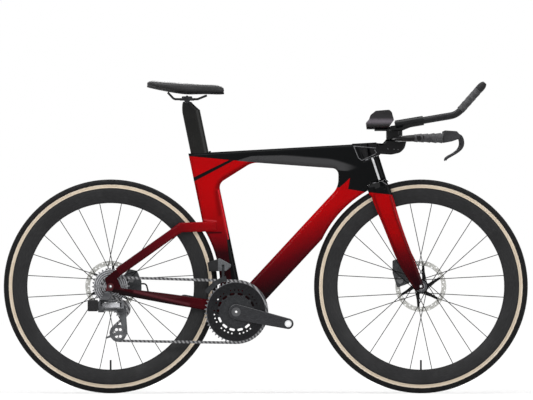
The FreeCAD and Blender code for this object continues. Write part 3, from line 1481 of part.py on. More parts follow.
# The lever blade's middle line, in shares of its reach from its pivot, with its thickness as shares
LEVER_AHEAD_SHARES = (0.0, 0.19, 0.26, 0.21, 0.04, -0.25, -0.48, -0.57)
LEVER_FALL_SHARES = (0.0, 0.10, 0.34, 0.59, 0.79, 0.98, 1.12, 1.27)
LEVER_THICKNESS_SHARES = (1.2, 1.4, 1.45, 1.35, 1.05, 0.95, 0.9, 0.5)


def lever_body():
    """The left lever's housing on the end of the horn, open in front for the lever."""
    foot = Vector(HORN_END + S.running_gap, 0, HORN_HEIGHT)
    corners = [foot + AHEAD * (ahead * S.lever_body_length) + UP * (rise * S.lever_body_height)
               for ahead, rise in LEVER_BODY_SHARES]
    half = S.lever_body_width / 2
    body = moulded(corners, S.lever_thickness / 2, S.bar_half_width - half, S.bar_half_width + half,
                   S.lever_thickness / 3)
    slot = S.lever_width / 2 + S.lever_gap
    room = S.lever_body_length * LEVER_ROOM_SHARE
    mouth = Part.makeBox(S.lever_body_length, 2 * slot, 2 * S.lever_body_height,
                         LEVER_PIVOT + Vector(-room, -slot, -S.lever_body_height))
    pin = cylinder(LEVER_PIVOT, LEFT, S.lever_pivot_radius, S.lever_body_width - S.lever_thickness / 2)
    return body.cut(mouth).fuse(pin)


def lever_blade():
    """The left lever: a curved blade that hangs from its pivot and points back below the grip."""
    places = [LEVER_PIVOT + AHEAD * (ahead * S.lever_reach) - UP * (fall * S.lever_reach)
              for ahead, fall in zip(LEVER_AHEAD_SHARES, LEVER_FALL_SHARES)]
    half_width = (S.lever_width - S.lever_gap) / 2
    sections = []
    for rank, place in enumerate(places):
        heading = (places[min(rank + 1, len(places) - 1)] - places[max(rank - 1, 0)]).normalize()
        across = Vector(-heading.z, 0, heading.x)
        half_thick = S.lever_thickness * LEVER_THICKNESS_SHARES[rank] / 2
        sections.append(oval(place, across, LEFT, half_thick, half_width, BLADE_FULLNESS))
    boss = cylinder(LEVER_PIVOT, LEFT, S.lever_thickness * LEVER_BOSS_SHARE, S.lever_width)
    pin = cylinder(LEVER_PIVOT, LEFT, S.lever_pivot_radius + S.running_gap, S.lever_body_width)
    return loft(sections).fuse(boss).cut(pin)


# Along the shifter: the way and the radius, as shares
SHIFTER_SHARES = ((0.0, 1.0), (0.35, 1.02), (0.8, 0.86), (1.0, 0.62))


def shifter_body():
    """The left shifter: a rounded pod on the end of the extension, with a seat for its button."""
    start = GRIP_END + GRIP_RUN * S.seat_gap
    side = Vector(-GRIP_RUN.z, 0, GRIP_RUN.x)
    pod = loft([oval(start + GRIP_RUN * (S.shifter_length * way), side, LEFT, S.shifter_radius * full,
                     S.shifter_radius * full, POD_FULLNESS) for way, full in SHIFTER_SHARES])
    seat = Part.makeCylinder(S.button_radius + S.slide_gap, S.shifter_length, button_foot(), GRIP_RUN)
    return pod.cut(seat)


def button_foot():
    return GRIP_END + GRIP_RUN * (S.seat_gap + S.shifter_length - S.button_height)


def shift_button():
    """The left shift button: a domed cap on the shifter's end."""
    start = button_foot() + GRIP_RUN * (S.button_height / 2)
    cap = Part.makeCylinder(S.button_radius, S.button_height, start, GRIP_RUN)
    far = [edge for edge in cap.Edges if (edge.CenterOfMass - start).dot(GRIP_RUN) > S.button_height / 2
           and edge.Closed]
    return cap.makeFillet(S.button_height / 3, far)


bar_shape = base_bar()
horn_tape = bar_tape().cut(bar_shape)
keep_shape("base_bar", bar_shape)
keep_shape("bar_tape", Part.makeCompound([pair(horn_tape), pair(extension_grip())]))
keep_shape("extensions", pair(extension()))
keep_shape("armrest_riser", armrest_riser().cut(bar_shape))
keep_shape("arm_cups", pair(arm_cup()))
keep_shape("arm_pads", pair(arm_pad()))
keep_shape("brake_lever_bodies", pair(lever_body()))
keep_shape("brake_lever_left", lever_blade())
keep_shape("brake_lever_right", mirrored(lever_blade()))
keep_shape("shifter_bodies", pair(shifter_body()))
keep_shape("shift_button_left", shift_button())
keep_shape("shift_button_right", mirrored(shift_button()))


# Brake rotors, calipers and pads
# Radii of the three rows of slots, as shares of the braking track's width
ROTOR_ROW_SHARES = (0.25, 0.5, 0.75)
# Corners of the calipers and places of their pads, in shares of the caliper's length from the axle
FRONT_CALIPER_SHARES = ((-1.39, 0.35), (-0.56, 0.38), (-0.60, 1.15), (-0.77, 2.0), (-1.17, 2.0),
                        (-1.39, 1.27))
FRONT_PAD_SHARES = (-1.10, 0.73)
REAR_CALIPER_SHARES = ((0.78, -0.27), (1.86, -0.46), (1.86, 0.31), (1.59, 0.94), (1.11, 1.04), (0.78, 0.69))
REAR_PAD_SHARES = (1.24, 0.44)
REAR_FOOT_SHARES = ((0.91, -0.46), (1.76, -0.46), (1.76, 0.04), (0.91, 0.04))
# The rear hose's middle line, in the same shares, with its distance out as shares of the dropout's
HOSE_SHARES = ((1.80, 0.16, 0.84), (2.14, 0.14, 0.88), (2.32, -0.55, 0.92))
FRONT_ROTOR_SIDE = value_of(front_rotor_side)
REAR_ROTOR_SIDE = value_of(rear_rotor_side)


def ring(centre, axis, outer, inner, length):
    """A plain ring centred on a point."""
    return cylinder(centre, axis, outer, length).cut(cylinder(centre, axis, inner, 2 * length))


def on_wheel(axle, radius, angle, side=0):
    """A point by its radius and angle about an axle."""
    return axle + polar(angle) * radius + LEFT * side


def rotor(axle, side):
    """A disc rotor: slotted track, swept arms, splined centre and its lockring."""
    centre = axle + LEFT * side
    half = S.rotor_thickness / 2
    inner = S.rotor_radius - S.rotor_track
    bore = S.hub_waist_radius + S.running_gap
    disc = ring(centre, LEFT, S.rotor_radius, inner, S.rotor_thickness)
    arms = []
    for rank in range(ROTOR_ARMS):
        angle = 360 * rank / ROTOR_ARMS
        root = on_wheel(axle, S.rotor_hub_radius - S.rotor_slot_radius, angle)
        tip = on_wheel(axle, inner + S.rotor_track / 4, angle + S.rotor_arm_sweep_angle)
        arms.append(tapered_plate(root, S.rotor_arm_width / 2, tip, S.rotor_arm_width / 3,
                                  side - half, side + half))
    slots = []
    for rank in range(ROTOR_SLOTS):
        share = ROTOR_ROW_SHARES[rank % len(ROTOR_ROW_SHARES)]
        place = on_wheel(axle, inner + S.rotor_track * share, 360 * rank / ROTOR_SLOTS, side)
        slots.append(cylinder(place, LEFT, S.rotor_slot_radius, 2 * S.rotor_thickness))
    heart = cylinder(centre, LEFT, S.rotor_hub_radius, S.rotor_thickness)
    disc = disc.fuse(arms + [heart]).cut(slots + [cylinder(centre, LEFT, bore, 2 * S.rotor_thickness)])
    lockring = ring(centre + LEFT * (half + S.seat_gap + S.lockring_height / 2), LEFT,
                    S.lockring_radius, bore, S.lockring_height)
    return Part.makeCompound([disc, lockring])


def caliper_point(axle, axes, shares):
    ahead, rise = shares
    return axle + axes[0] * (ahead * S.caliper_length) + axes[1] * (rise * S.caliper_length)


def pad_axes(axle, place):
    """The directions out from the axle, round it and across the wheel, at a brake pad."""
    out = (place - axle).normalize()
    return out, out.cross(LEFT), LEFT


def brake_caliper(axle, axes, side, shares, pad_shares, extras, seat):
    """A caliper round the rotor's edge, with pockets for its two pads."""
    corners = [caliper_point(axle, axes, pair_of) for pair_of in shares]
    body = moulded(corners, S.caliper_edge_radius, side - S.caliper_half_width, side + S.caliper_half_width,
                   S.caliper_edge_radius / 2)
    place = caliper_point(axle, axes, pad_shares) + LEFT * side
    pistons = cylinder(place, LEFT, S.caliper_piston_radius,
                       2 * (S.caliper_half_width + S.caliper_piston_height))
    slot = cylinder(axle + LEFT * side, LEFT, S.rotor_radius + 2 * S.caliper_slot_gap,
                    S.rotor_thickness + 2 * S.caliper_slot_gap)
    depth = S.rotor_thickness + 2 * (S.pad_gap + S.pad_thickness + S.slide_gap)
    pocket = brick(place, pad_axes(axle, place - LEFT * side),
                   (S.pad_height + 2 * S.slide_gap, S.pad_length + 2 * S.slide_gap, depth))
    return body.fuse([pistons] + extras).cut([slot, pocket, seat])


def brake_pad(axle, axes, side, pad_shares, outward):
    """One brake pad beside the rotor, on its outer or inner face."""
    place = caliper_point(axle, axes, pad_shares)
    offset = S.rotor_thickness / 2 + S.pad_gap + S.pad_thickness / 2
    return brick(place + LEFT * (side + outward * offset), pad_axes(axle, place),
                 (S.pad_height, S.pad_length, S.pad_thickness))


FRONT_BRAKE = (FRONT_AXLE, (STEER_AHEAD, STEER_UP), FRONT_ROTOR_SIDE)
REAR_BRAKE = (REAR_AXLE, (AHEAD, UP), REAR_ROTOR_SIDE)
foot_corners = [caliper_point(REAR_AXLE, (AHEAD, UP), pair_of) for pair_of in REAR_FOOT_SHARES]
caliper_foot = moulded(foot_corners, S.caliper_edge_radius / 2, REAR_ROTOR_SIDE + S.rotor_thickness * 2,
                       DROPOUT_MIDDLE, S.caliper_edge_radius / 4)
rear_caliper = brake_caliper(*REAR_BRAKE, REAR_CALIPER_SHARES, REAR_PAD_SHARES, [caliper_foot],
                             chainstay_shape)
front_caliper = brake_caliper(*FRONT_BRAKE, FRONT_CALIPER_SHARES, FRONT_PAD_SHARES, [], fork_shape)
hose_line = [caliper_point(REAR_AXLE, (AHEAD, UP), (ahead, rise)) + LEFT * (out * DROPOUT_INNER)
             for ahead, rise, out in HOSE_SHARES]
hose = bent_tube(hose_line, [S.hose_radius * 4], S.hose_radius).cut([rear_caliper, chainstay_shape])
keep_shape("front_rotor", rotor(FRONT_AXLE, FRONT_ROTOR_SIDE))
keep_shape("rear_rotor", rotor(REAR_AXLE, REAR_ROTOR_SIDE))
keep_shape("front_brake_caliper", front_caliper.cut(tip_shapes))
keep_shape("rear_brake_caliper", rear_caliper)
keep_shape("rear_brake_hose", hose)
for wheel, brake, pad_shares in (("front", FRONT_BRAKE, FRONT_PAD_SHARES),
                                 ("rear", REAR_BRAKE, REAR_PAD_SHARES)):
    keep_shape(f"{wheel}_brake_pad_outer", brake_pad(*brake, pad_shares, 1))
    keep_shape(f"{wheel}_brake_pad_inner", brake_pad(*brake, pad_shares, -1))


# Cranks and chainrings
CHAIN_SIDE = -S.chain_line
SEAT_SPREAD_ANGLE = 62


def crank_arm(heading, outward):
    """One crank arm: a boss on the spindle, tapering to the pedal's threaded eye."""
    eye = BRACKET + heading * S.crank_length
    faces = sorted((outward * (S.crank_outer_face - S.crank_thickness), outward * S.crank_outer_face))
    arm = tapered_plate(BRACKET, S.crank_boss_radius, eye, S.crank_tip_radius, *faces)
    arm = soften(arm, S.crank_edge_radius)
    bores = [cylinder(BRACKET, LEFT, S.spindle_radius + S.running_gap, S.wheelbase),
             cylinder(eye, LEFT, S.pedal_thread_radius, S.wheelbase)]
    return arm.cut(bores)


def pitch_radius(teeth):
    return S.chain_pitch / (2 * math.sin(math.pi / teeth))


def sprocket(centre, teeth, thickness, side, phase):
    """A toothed wheel whose tooth gaps start at an angle, as a solid without a bore."""
    radius = pitch_radius(teeth)
    step = 360 / teeth
    edges = []
    for rank in range(teeth):
        angle = phase + rank * step
        pin = centre + polar(angle) * radius
        start = pin + polar(angle + 180 + SEAT_SPREAD_ANGLE) * S.seat_radius
        end = pin + polar(angle + 180 - SEAT_SPREAD_ANGLE) * S.seat_radius
        tip = centre + polar(angle + step / 2) * (radius + S.tooth_height)
        flank = polar(angle + step / 2 + 90) * (S.tooth_tip / 2)
        following = centre + polar(angle + step) * radius
        after = following + polar(angle + step + 180 + SEAT_SPREAD_ANGLE) * S.seat_radius
        edges.append(Part.Arc(start, pin - polar(angle) * S.seat_radius, end).toShape())
        edges.append(Part.makeLine(end, tip - flank))
        edges.append(Part.makeLine(tip - flank, tip + flank))
        edges.append(Part.makeLine(tip + flank, after))
    return slab(Part.Wire(edges), side - thickness / 2, side + thickness / 2)


def ring_slot(angle):
    """One long hole through a chainring's web."""
    lean = math.degrees(S.ring_slot_length / 2 / S.ring_slot_circle)
    ends = [on_wheel(BRACKET, S.ring_slot_circle, angle + turn) for turn in (-lean, lean)]
    return tapered_plate(ends[0], S.ring_slot_radius, ends[1], S.ring_slot_radius,
                         -S.wheelbase, S.wheelbase)


def ring_bolt(angle):
    """One chainring bolt, with the sleeve that keeps the two rings apart."""
    small_side = CHAIN_SIDE + S.ring_spacing
    half = S.ring_thickness / 2
    place = on_wheel(BRACKET, S.ring_bolt_circle, angle)
    outer = CHAIN_SIDE - half - S.seat_gap - S.spider_thickness - S.seat_gap
    inner = small_side + half + S.seat_gap
    shank = Part.makeCylinder(S.ring_bolt_radius, inner - outer, place + LEFT * outer, LEFT)
    sleeve = Part.makeCylinder(S.ring_bolt_head, S.ring_spacing - S.ring_thickness - 2 * S.seat_gap,
                               place + LEFT * (CHAIN_SIDE + half + S.seat_gap), LEFT)
    heads = [Part.makeCylinder(S.ring_bolt_head, S.spindle_recess, place + LEFT * start, LEFT)
             for start in (outer - S.spindle_recess, inner)]
    return shank.fuse([sleeve] + heads)


def chainrings(phase):
    """The spider, the two chainrings and their bolts."""
    angles = [360 * (2 * rank + 1) / (2 * SPIDER_ARMS) for rank in range(SPIDER_ARMS)]
    bolt_hole = S.ring_bolt_radius + S.running_gap
    bolt_holes = [cylinder(on_wheel(BRACKET, S.ring_bolt_circle, angle), LEFT, bolt_hole, S.wheelbase)
                  for angle in angles]
    slots = [ring_slot(360 * rank / RING_SLOTS) for rank in range(RING_SLOTS)]
    # The big ring's holes lie in groups, each hole in front of one of the small ring's tooth gaps
    holes = [cylinder(on_wheel(BRACKET, S.ring_hole_circle, phase + 360 * rank / SMALL_RING_TEETH), LEFT,
                      S.ring_hole_radius, S.wheelbase)
             for rank in range(SMALL_RING_TEETH) if rank % RING_HOLE_GROUPS]
    eye = cylinder(BRACKET, LEFT, S.ring_bore_radius, S.wheelbase)
    big = sprocket(BRACKET, BIG_RING_TEETH, S.ring_thickness, CHAIN_SIDE, phase)
    big = big.cut(bolt_holes + slots + holes + [eye])
    small = sprocket(BRACKET, SMALL_RING_TEETH, S.ring_thickness, CHAIN_SIDE + S.ring_spacing, phase)
    small = small.cut(bolt_holes + slots + [eye])
    spider_side = CHAIN_SIDE - S.ring_thickness / 2 - S.seat_gap - S.spider_thickness / 2
    spider = cylinder(BRACKET + LEFT * spider_side, LEFT, S.spider_radius, S.spider_thickness)
    spider = spider.cut(bolt_holes + [cylinder(BRACKET, LEFT, S.spindle_radius + S.running_gap, S.wheelbase)])
    return Part.makeCompound([big, small, spider] + [ring_bolt(angle) for angle in angles])


spindle_half = S.crank_outer_face - S.spindle_recess
keep_shape("crank_spindle", ring(BRACKET, LEFT, S.spindle_radius, S.spindle_bore_radius, 2 * spindle_half))
keep_shape("crank_arm_right", crank_arm(CRANK, -1))
keep_shape("crank_arm_left", crank_arm(CRANK * -1, 1))


# Chain: its path over the ring, the cog and the two pulleys, and its links
GUIDE = REAR_AXLE + AHEAD * S.guide_ahead - UP * S.guide_drop


def wheels_of_path(cage_angle):
    """The toothed wheels that the chain passes: centre, teeth, and way round."""
    tension = GUIDE + polar(-cage_angle) * S.cage_length
    return ((BRACKET, BIG_RING_TEETH, 1), (REAR_AXLE, COG_TEETH[DRIVEN_COG], 1),
            (GUIDE, PULLEY_TEETH, -1), (tension, PULLEY_TEETH, 1))


def tangent(first, second):
    """The heading of the chain's straight run from one wheel to the next, and its ends."""
    reach = second[2] * pitch_radius(second[1]) - first[2] * pitch_radius(first[1])
    gap = second[0] - first[0]
    heading = math.degrees(math.atan2(gap.z, gap.x) - math.asin(reach / gap.Length))
    side = polar(heading + 90)
    return (heading, first[0] - side * (first[2] * pitch_radius(first[1])),
            second[0] - side * (second[2] * pitch_radius(second[1])))


def path_pieces(cage_angle):
    """The chain's path as pieces with their number of links: arcs and straight runs in turn."""
    wheels = wheels_of_path(cage_angle)
    runs = [tangent(wheels[rank], wheels[(rank + 1) % len(wheels)]) for rank in range(len(wheels))]
    pieces = []
    for rank, (centre, teeth, way) in enumerate(wheels):
        before, after = runs[rank - 1], runs[rank]
        sweep = (way * (after[0] - before[0])) % 360
        entry = before[0] - way * 90
        pieces.append((sweep * teeth / 360, "arc", centre, teeth, way, entry))
        pieces.append(((after[2] - after[1]).Length / S.chain_pitch, "run", after[1], after[2]))
    return pieces


def link_count(cage_angle):
    return sum(piece[0] for piece in path_pieces(cage_angle))


def settled_cage():
    """The cage angle at which the chain closes on an even number of links."""
    low = S.cage_rest_angle - S.cage_swing_angle
    high = S.cage_rest_angle + S.cage_swing_angle
    wanted = 2 * round(link_count(S.cage_rest_angle) / 2)
    rising = link_count(high) > link_count(low)
    for _ in range(SETTLING_STEPS):
        middle = (low + high) / 2
        if (link_count(middle) < wanted) == rising:
            low = middle
        else:
            high = middle
    return middle, wanted


def pin_at(pieces, count):
    """The chain pin that lies a number of links along the path."""
    for piece in pieces:
        if count <= piece[0]:
            break
        count -= piece[0]
    if piece[1] == "run":
        return between(piece[2], piece[3], count / piece[0])
    _, _, centre, teeth, way, entry = piece
    return centre + polar(entry + way * 360 * count / teeth) * pitch_radius(teeth)


def link_plate(first, second, low):
    """One side plate of a chain link, with rounded ends."""
    return tapered_plate(first, S.plate_half_height, second, S.plate_half_height,
                         low, low + S.plate_thickness)


def chain_link(first, second, outer):
    """One link: outer plates with their pins, or inner plates with their rollers."""
    near = S.roller_half_width + (S.plate_thickness + S.plate_gap if outer else 0)
    plates = [link_plate(first, second, CHAIN_SIDE + near),
              link_plate(first, second, CHAIN_SIDE - near - S.plate_thickness)]
    if outer:
        pins = [cylinder(place + LEFT * CHAIN_SIDE, LEFT, S.pin_radius, 2 * (near + S.plate_thickness))
                for place in (first, second)]
        return plates[0].fuse(plates[1:] + pins)
    rollers = [cylinder(place + LEFT * CHAIN_SIDE, LEFT, S.roller_radius, 2 * near + S.plate_thickness)
               for place in (first, second)]
    bores = [cylinder(place, LEFT, S.pin_radius + S.running_gap, S.wheelbase) for place in (first, second)]
    return plates[0].fuse(plates[1:] + rollers).cut(bores)


CAGE_ANGLE, LINKS = settled_cage()
TENSION = GUIDE + polar(-CAGE_ANGLE) * S.cage_length
path = path_pieces(CAGE_ANGLE)
pins = [pin_at(path, rank) for rank in range(LINKS)]
links = [chain_link(pins[rank], pins[(rank + 1) % LINKS], rank % 2) for rank in range(LINKS)]
keep_shape("chain", Part.makeCompound(links))


def phase_of(centre, teeth):
    """The angle of a chain pin that lies on a wheel's pitch circle."""
    nearest = min(pins, key=lambda pin: abs((pin - centre).Length - pitch_radius(teeth)))
    return math.degrees(math.atan2(nearest.z - centre.z, nearest.x - centre.x))


keep_shape("chainrings", chainrings(phase_of(BRACKET, BIG_RING_TEETH)))


# Cassette
def cassette():
    """Twelve cogs on the freehub, with the lockring at its end."""
    cogs = []
    bore = cylinder(REAR_AXLE, LEFT, S.freehub_radius + S.running_gap, S.wheelbase)
    phase = phase_of(REAR_AXLE, COG_TEETH[DRIVEN_COG])
    for rank, teeth in enumerate(COG_TEETH):
        side = CHAIN_SIDE - (DRIVEN_COG - rank) * S.cog_pitch
        cog = sprocket(REAR_AXLE, teeth, S.cog_thickness, side, phase).cut(bore)
        middle = (pitch_radius(teeth) + S.freehub_radius) / 2
        if pitch_radius(teeth) - S.seat_radius - middle > 2 * S.cog_hole_radius:
            holes = [cylinder(on_wheel(REAR_AXLE, middle, 360 * turn / SPIDER_ARMS), LEFT, S.cog_hole_radius,
                              S.wheelbase) for turn in range(SPIDER_ARMS)]
            cog = cog.cut(holes)
        cogs.append(cog)
    first = CHAIN_SIDE - DRIVEN_COG * S.cog_pitch - S.cog_thickness
    last = CHAIN_SIDE + (len(COG_TEETH) - 1 - DRIVEN_COG) * S.cog_pitch + S.cog_thickness
    freehub = ring(REAR_AXLE + LEFT * ((first + last) / 2), LEFT, S.freehub_radius,
                   S.hub_waist_radius + S.running_gap, last - first)
    return Part.makeCompound(cogs + [freehub])


keep_shape("cassette", cassette())


# Rear derailleur
# The links lie ahead of the body, and turn about slanted pins
SLANT = Vector(0, math.sin(math.radians(S.link_slant_angle)), math.cos(math.radians(S.link_slant_angle)))
SWING = SLANT.cross(AHEAD)
LINK_ROOT = REAR_AXLE - AHEAD * S.link_back - UP * S.link_drop - LEFT * S.link_side
LINK_TIP = LINK_ROOT + AHEAD * S.link_length
KNUCKLE_OUTER = CHAIN_SIDE - S.cage_half_width - S.cage_plate - S.knuckle_gap


def lug_block(pivot, way):
    """The two lugs above and below the links' ends, joined behind their pins."""
    depth = 2 * (S.link_spacing / 2 + S.link_half_thickness + S.lug_thickness / 2)
    height = S.link_height + 2 * (S.lug_thickness + S.slide_gap)
    length = S.lug_back + S.lug_front
    centre = pivot + AHEAD * (way * (S.lug_front - S.lug_back) / 2)
    return brick(centre, (AHEAD, SWING, SLANT), (length, depth, height))


def link_room(pivot, way):
    """The space that the swinging links need between the lugs."""
    length = S.link_length
    centre = pivot + AHEAD * (way * (length / 2 - S.lug_wall))
    return brick(centre, (AHEAD, SWING, SLANT), (length, 2 * S.link_length, S.link_height + 2 * S.slide_gap))


def link_pins(pivot, radius):
    height = S.link_height + 2 * S.lug_thickness
    return [cylinder(pivot + SWING * (side * S.link_spacing / 2), SLANT, radius, height) for side in (-1, 1)]


def derailleur_link(side):
    """One of the two parallel links."""
    centre = (LINK_ROOT + LINK_TIP) / 2 + SWING * (side * S.link_spacing / 2)
    plate = brick(centre, (AHEAD, SWING, SLANT), (S.link_length, 2 * S.link_half_thickness, S.link_height))
    ends = [cylinder(centre + AHEAD * (way * S.link_length / 2), SLANT, S.link_half_thickness, S.link_height)
            for way in (-1, 1)]
    bores = [cylinder(centre + AHEAD * (way * S.link_length / 2), SLANT, S.link_pin_radius + S.running_gap,
                      2 * S.link_height) for way in (-1, 1)]
    return plate.fuse(ends).cut(bores)


def derailleur_body():
    """The body on the hanger, its bolt, and the arm that carries the links."""
    outer = HANGER_FACE - S.hanger_thickness - S.slide_gap - S.body_thickness
    inner = HANGER_FACE - S.hanger_thickness - S.slide_gap
    foot = Vector(LINK_ROOT.x - S.lug_wall, 0, LINK_ROOT.z)
    arm = tapered_plate(HANGER_BOLT, S.body_radius, foot, S.body_radius * HANGER_TAPER_SHARE, outer, inner)
    arm = soften(arm, S.lug_thickness / 2)
    bolt = Part.makeCylinder(S.hanger_bolt_radius - S.running_gap, S.hanger_thickness + 2 * S.slide_gap,
                             HANGER_BOLT + LEFT * (inner - S.slide_gap), LEFT)
    whole = arm.fuse([bolt, lug_block(LINK_ROOT, 1)]).cut(link_room(LINK_ROOT, 1))
    return whole.fuse(link_pins(LINK_ROOT, S.link_pin_radius))


def derailleur_knuckle():
    """The moving knuckle: lugs for the links, and a round housing for the cage's spring."""
    centre = GUIDE + LEFT * (KNUCKLE_OUTER - S.knuckle_thickness / 2)
    drum_part = soften(cylinder(centre, LEFT, S.knuckle_radius, S.knuckle_thickness), S.lug_thickness / 2)
    whole = drum_part.fuse(lug_block(LINK_TIP, -1)).cut(link_room(LINK_TIP, -1))
    pivot = cylinder(GUIDE + LEFT * KNUCKLE_OUTER, LEFT, S.cage_pivot_radius + S.running_gap,
                     2 * (S.knuckle_thickness / 2 + S.slide_gap))
    return whole.cut(pivot).fuse(link_pins(LINK_TIP, S.link_pin_radius))


def cage_plate(low, high):
    """One cage plate: a band down from the guide pulley to a loop round the tension pulley, with a tail."""
    middle = TENSION + LEFT * ((low + high) / 2)
    side = AHEAD * (S.cage_loop_radius - S.cage_loop_width / 2)
    tail = TENSION + polar(S.cage_tail_angle) * S.cage_tail_length
    band = tapered_plate(GUIDE, S.cage_end_radius, TENSION + side, S.cage_band_radius, low, high)
    loop = ring(middle, LEFT, S.cage_loop_radius, S.cage_loop_radius - S.cage_loop_width, high - low)
    bars = [tapered_plate(TENSION, S.cage_band_radius, TENSION + side, S.cage_tail_radius, low, high),
            tapered_plate(TENSION, S.cage_band_radius, tail, S.cage_tail_radius, low, high)]
    return band.fuse([loop] + bars)


def derailleur_cage():
    """Two plates with the pulleys' bolts between them, and the pivot in the knuckle."""
    near, far = S.cage_half_width, S.cage_half_width + S.cage_plate
    plates = [cage_plate(CHAIN_SIDE + low, CHAIN_SIDE + high) for low, high in ((-far, -near), (near, far))]
    bolts = [cylinder(place + LEFT * CHAIN_SIDE, LEFT, S.pulley_bolt_radius, 2 * far)
             for place in (GUIDE, TENSION)]
    stub = Part.makeCylinder(S.cage_pivot_radius, S.knuckle_gap + S.knuckle_thickness / 2,
                             GUIDE + LEFT * (KNUCKLE_OUTER - S.knuckle_thickness / 2), LEFT)
    return plates[0].fuse(plates[1:] + bolts + [stub])


def pulley(centre):
    """One toothed pulley with round windows."""
    wheel = sprocket(centre, PULLEY_TEETH, S.pulley_thickness, CHAIN_SIDE, phase_of(centre, PULLEY_TEETH))
    bore = cylinder(centre, LEFT, S.pulley_bolt_radius + S.running_gap, S.wheelbase)
    holes = [cylinder(on_wheel(centre, pitch_radius(PULLEY_TEETH) / 2, 360 * rank / ROTOR_ARMS), LEFT,
                      S.pulley_hole_radius, S.wheelbase) for rank in range(ROTOR_ARMS)]
    return wheel.cut([bore] + holes)


body_shape = derailleur_body()
battery_side = HANGER_FACE - S.hanger_thickness - S.battery_width / 2
battery_place = REAR_AXLE - AHEAD * S.battery_back - UP * S.battery_drop + LEFT * battery_side
rear_battery = brick(battery_place, (AHEAD, LEFT, UP), (S.battery_length, S.battery_width, S.battery_height))
rear_battery = rear_battery.makeFillet(S.battery_edge_radius, rear_battery.Edges).cut(body_shape)
keep_shape("rear_derailleur_body", body_shape)
keep_shape("rear_derailleur_outer_link", derailleur_link(-1))
keep_shape("rear_derailleur_inner_link", derailleur_link(1))
keep_shape("rear_derailleur_knuckle", derailleur_knuckle())
keep_shape("rear_derailleur_cage", derailleur_cage())
keep_shape("guide_pulley", pulley(GUIDE))
keep_shape("tension_pulley", pulley(TENSION))


# Front derailleur
SWING_PIVOT = BRACKET + Vector(-S.swing_arm_back, -S.swing_pivot_side, S.swing_pivot_rise)


def roof_height():
    """How far above the bottom bracket the roof lies that joins the arm to the cage's plates."""
    back = S.swing_arm_back + S.swing_arm_thickness / 2
    return math.sqrt(S.guide_plate_outer ** 2 - back ** 2) - S.guide_roof / 2


def swing_arm():
    """The arm that hangs from the pivot and carries the cage."""
    height = S.swing_pivot_rise - roof_height()
    return Part.makeBox(S.swing_arm_thickness, 2 * S.swing_arm_half_width, height + S.swing_arm_half_width,
                        SWING_PIVOT + Vector(-S.swing_arm_thickness / 2, -S.swing_arm_half_width, -height))


# Corners of the motor box and of its battery, in shares of the box's length and height
BOX_SHARES = ((0.0, 0.0), (0.62, 0.0), (0.95, 0.30), (1.0, 0.50), (0.20, 1.0), (0.0, 0.96))
BOX_BATTERY_SHARES = ((-0.62, -0.04), (0.1, 0.0), (0.1, 0.98), (-0.70, 0.68))


def box_corners(shares):
    foot = BRACKET - AHEAD * S.box_back + UP * S.box_bottom
    length = S.box_back - S.box_front
    return [foot + AHEAD * (ahead * length) + UP * (rise * S.box_height) for ahead, rise in shares]


def front_derailleur_body():
    """The motor box on the seat tube, with a slot for the swinging arm."""
    box = moulded(box_corners(BOX_SHARES), S.box_edge_radius, -S.box_outer, -S.box_inner,
                  S.box_edge_radius / 2)
    gap = S.swing_arm_thickness / 2 + S.slide_gap
    depth = S.box_outer - S.swing_pivot_side + 3 * S.swing_arm_half_width
    corner = Vector(-gap, S.swing_pivot_side - S.box_outer - S.overrun,
                    S.swing_arm_half_width - S.box_height / 2)
    room = Part.makeBox(2 * gap, depth, S.box_height / 2 + S.overrun, SWING_PIVOT + corner)
    pin = cylinder(SWING_PIVOT, AHEAD, S.swing_pivot_radius, S.box_back - S.box_front - 2 * S.box_edge_radius)
    return box.cut([room, frame_shape]).fuse(pin)


def guide_plate(low):
    """One cage plate: a band just outside the big ring's teeth."""
    ends = (S.guide_start_angle, S.guide_end_angle)
    inner = [on_wheel(BRACKET, S.guide_plate_inner, angle) for angle in ends]
    outer = [on_wheel(BRACKET, S.guide_plate_outer, angle) for angle in ends]
    wire = Part.Wire([arc_about(BRACKET, *inner), Part.makeLine(inner[1], outer[1]),
                      arc_about(BRACKET, outer[1], outer[0]), Part.makeLine(outer[0], inner[0])])
    return slab(wire, low, low + S.guide_plate_thickness)


def front_derailleur_cage():
    """The two plates beside the chain, their bridges, and the swinging arm."""
    near, far = S.guide_plate_gap, S.guide_plate_gap + S.guide_plate_thickness
    plates = [guide_plate(CHAIN_SIDE + near), guide_plate(CHAIN_SIDE - far)]
    middle = (S.guide_plate_inner + S.guide_plate_outer) / 2
    tail = on_wheel(BRACKET, middle, S.guide_end_angle - S.guide_bridge_radius / 2, CHAIN_SIDE)
    bridge = cylinder(tail, LEFT, S.guide_bridge_radius, 2 * far)
    roof_low = BRACKET.z + roof_height()
    inner_face = -S.swing_pivot_side + S.swing_arm_half_width
    roof = Part.makeBox(S.swing_arm_thickness, inner_face - CHAIN_SIDE + far, S.guide_roof,
                        Vector(SWING_PIVOT.x - S.swing_arm_thickness / 2, CHAIN_SIDE - far, roof_low))
    bore = cylinder(SWING_PIVOT, AHEAD, S.swing_pivot_radius + S.running_gap, S.wheelbase)
    return plates[0].fuse(plates[1:] + [bridge, roof, swing_arm().cut(bore)])


shifter_box = front_derailleur_body()
front_battery = moulded(box_corners(BOX_BATTERY_SHARES), S.battery_edge_radius, -S.box_outer,
                        S.battery_width - S.box_outer, S.battery_edge_radius / 2).cut(shifter_box)
keep_shape("front_derailleur_body", shifter_box)
keep_shape("front_derailleur_cage", front_derailleur_cage())
keep_shape("derailleur_batteries", Part.makeCompound([rear_battery, front_battery]))


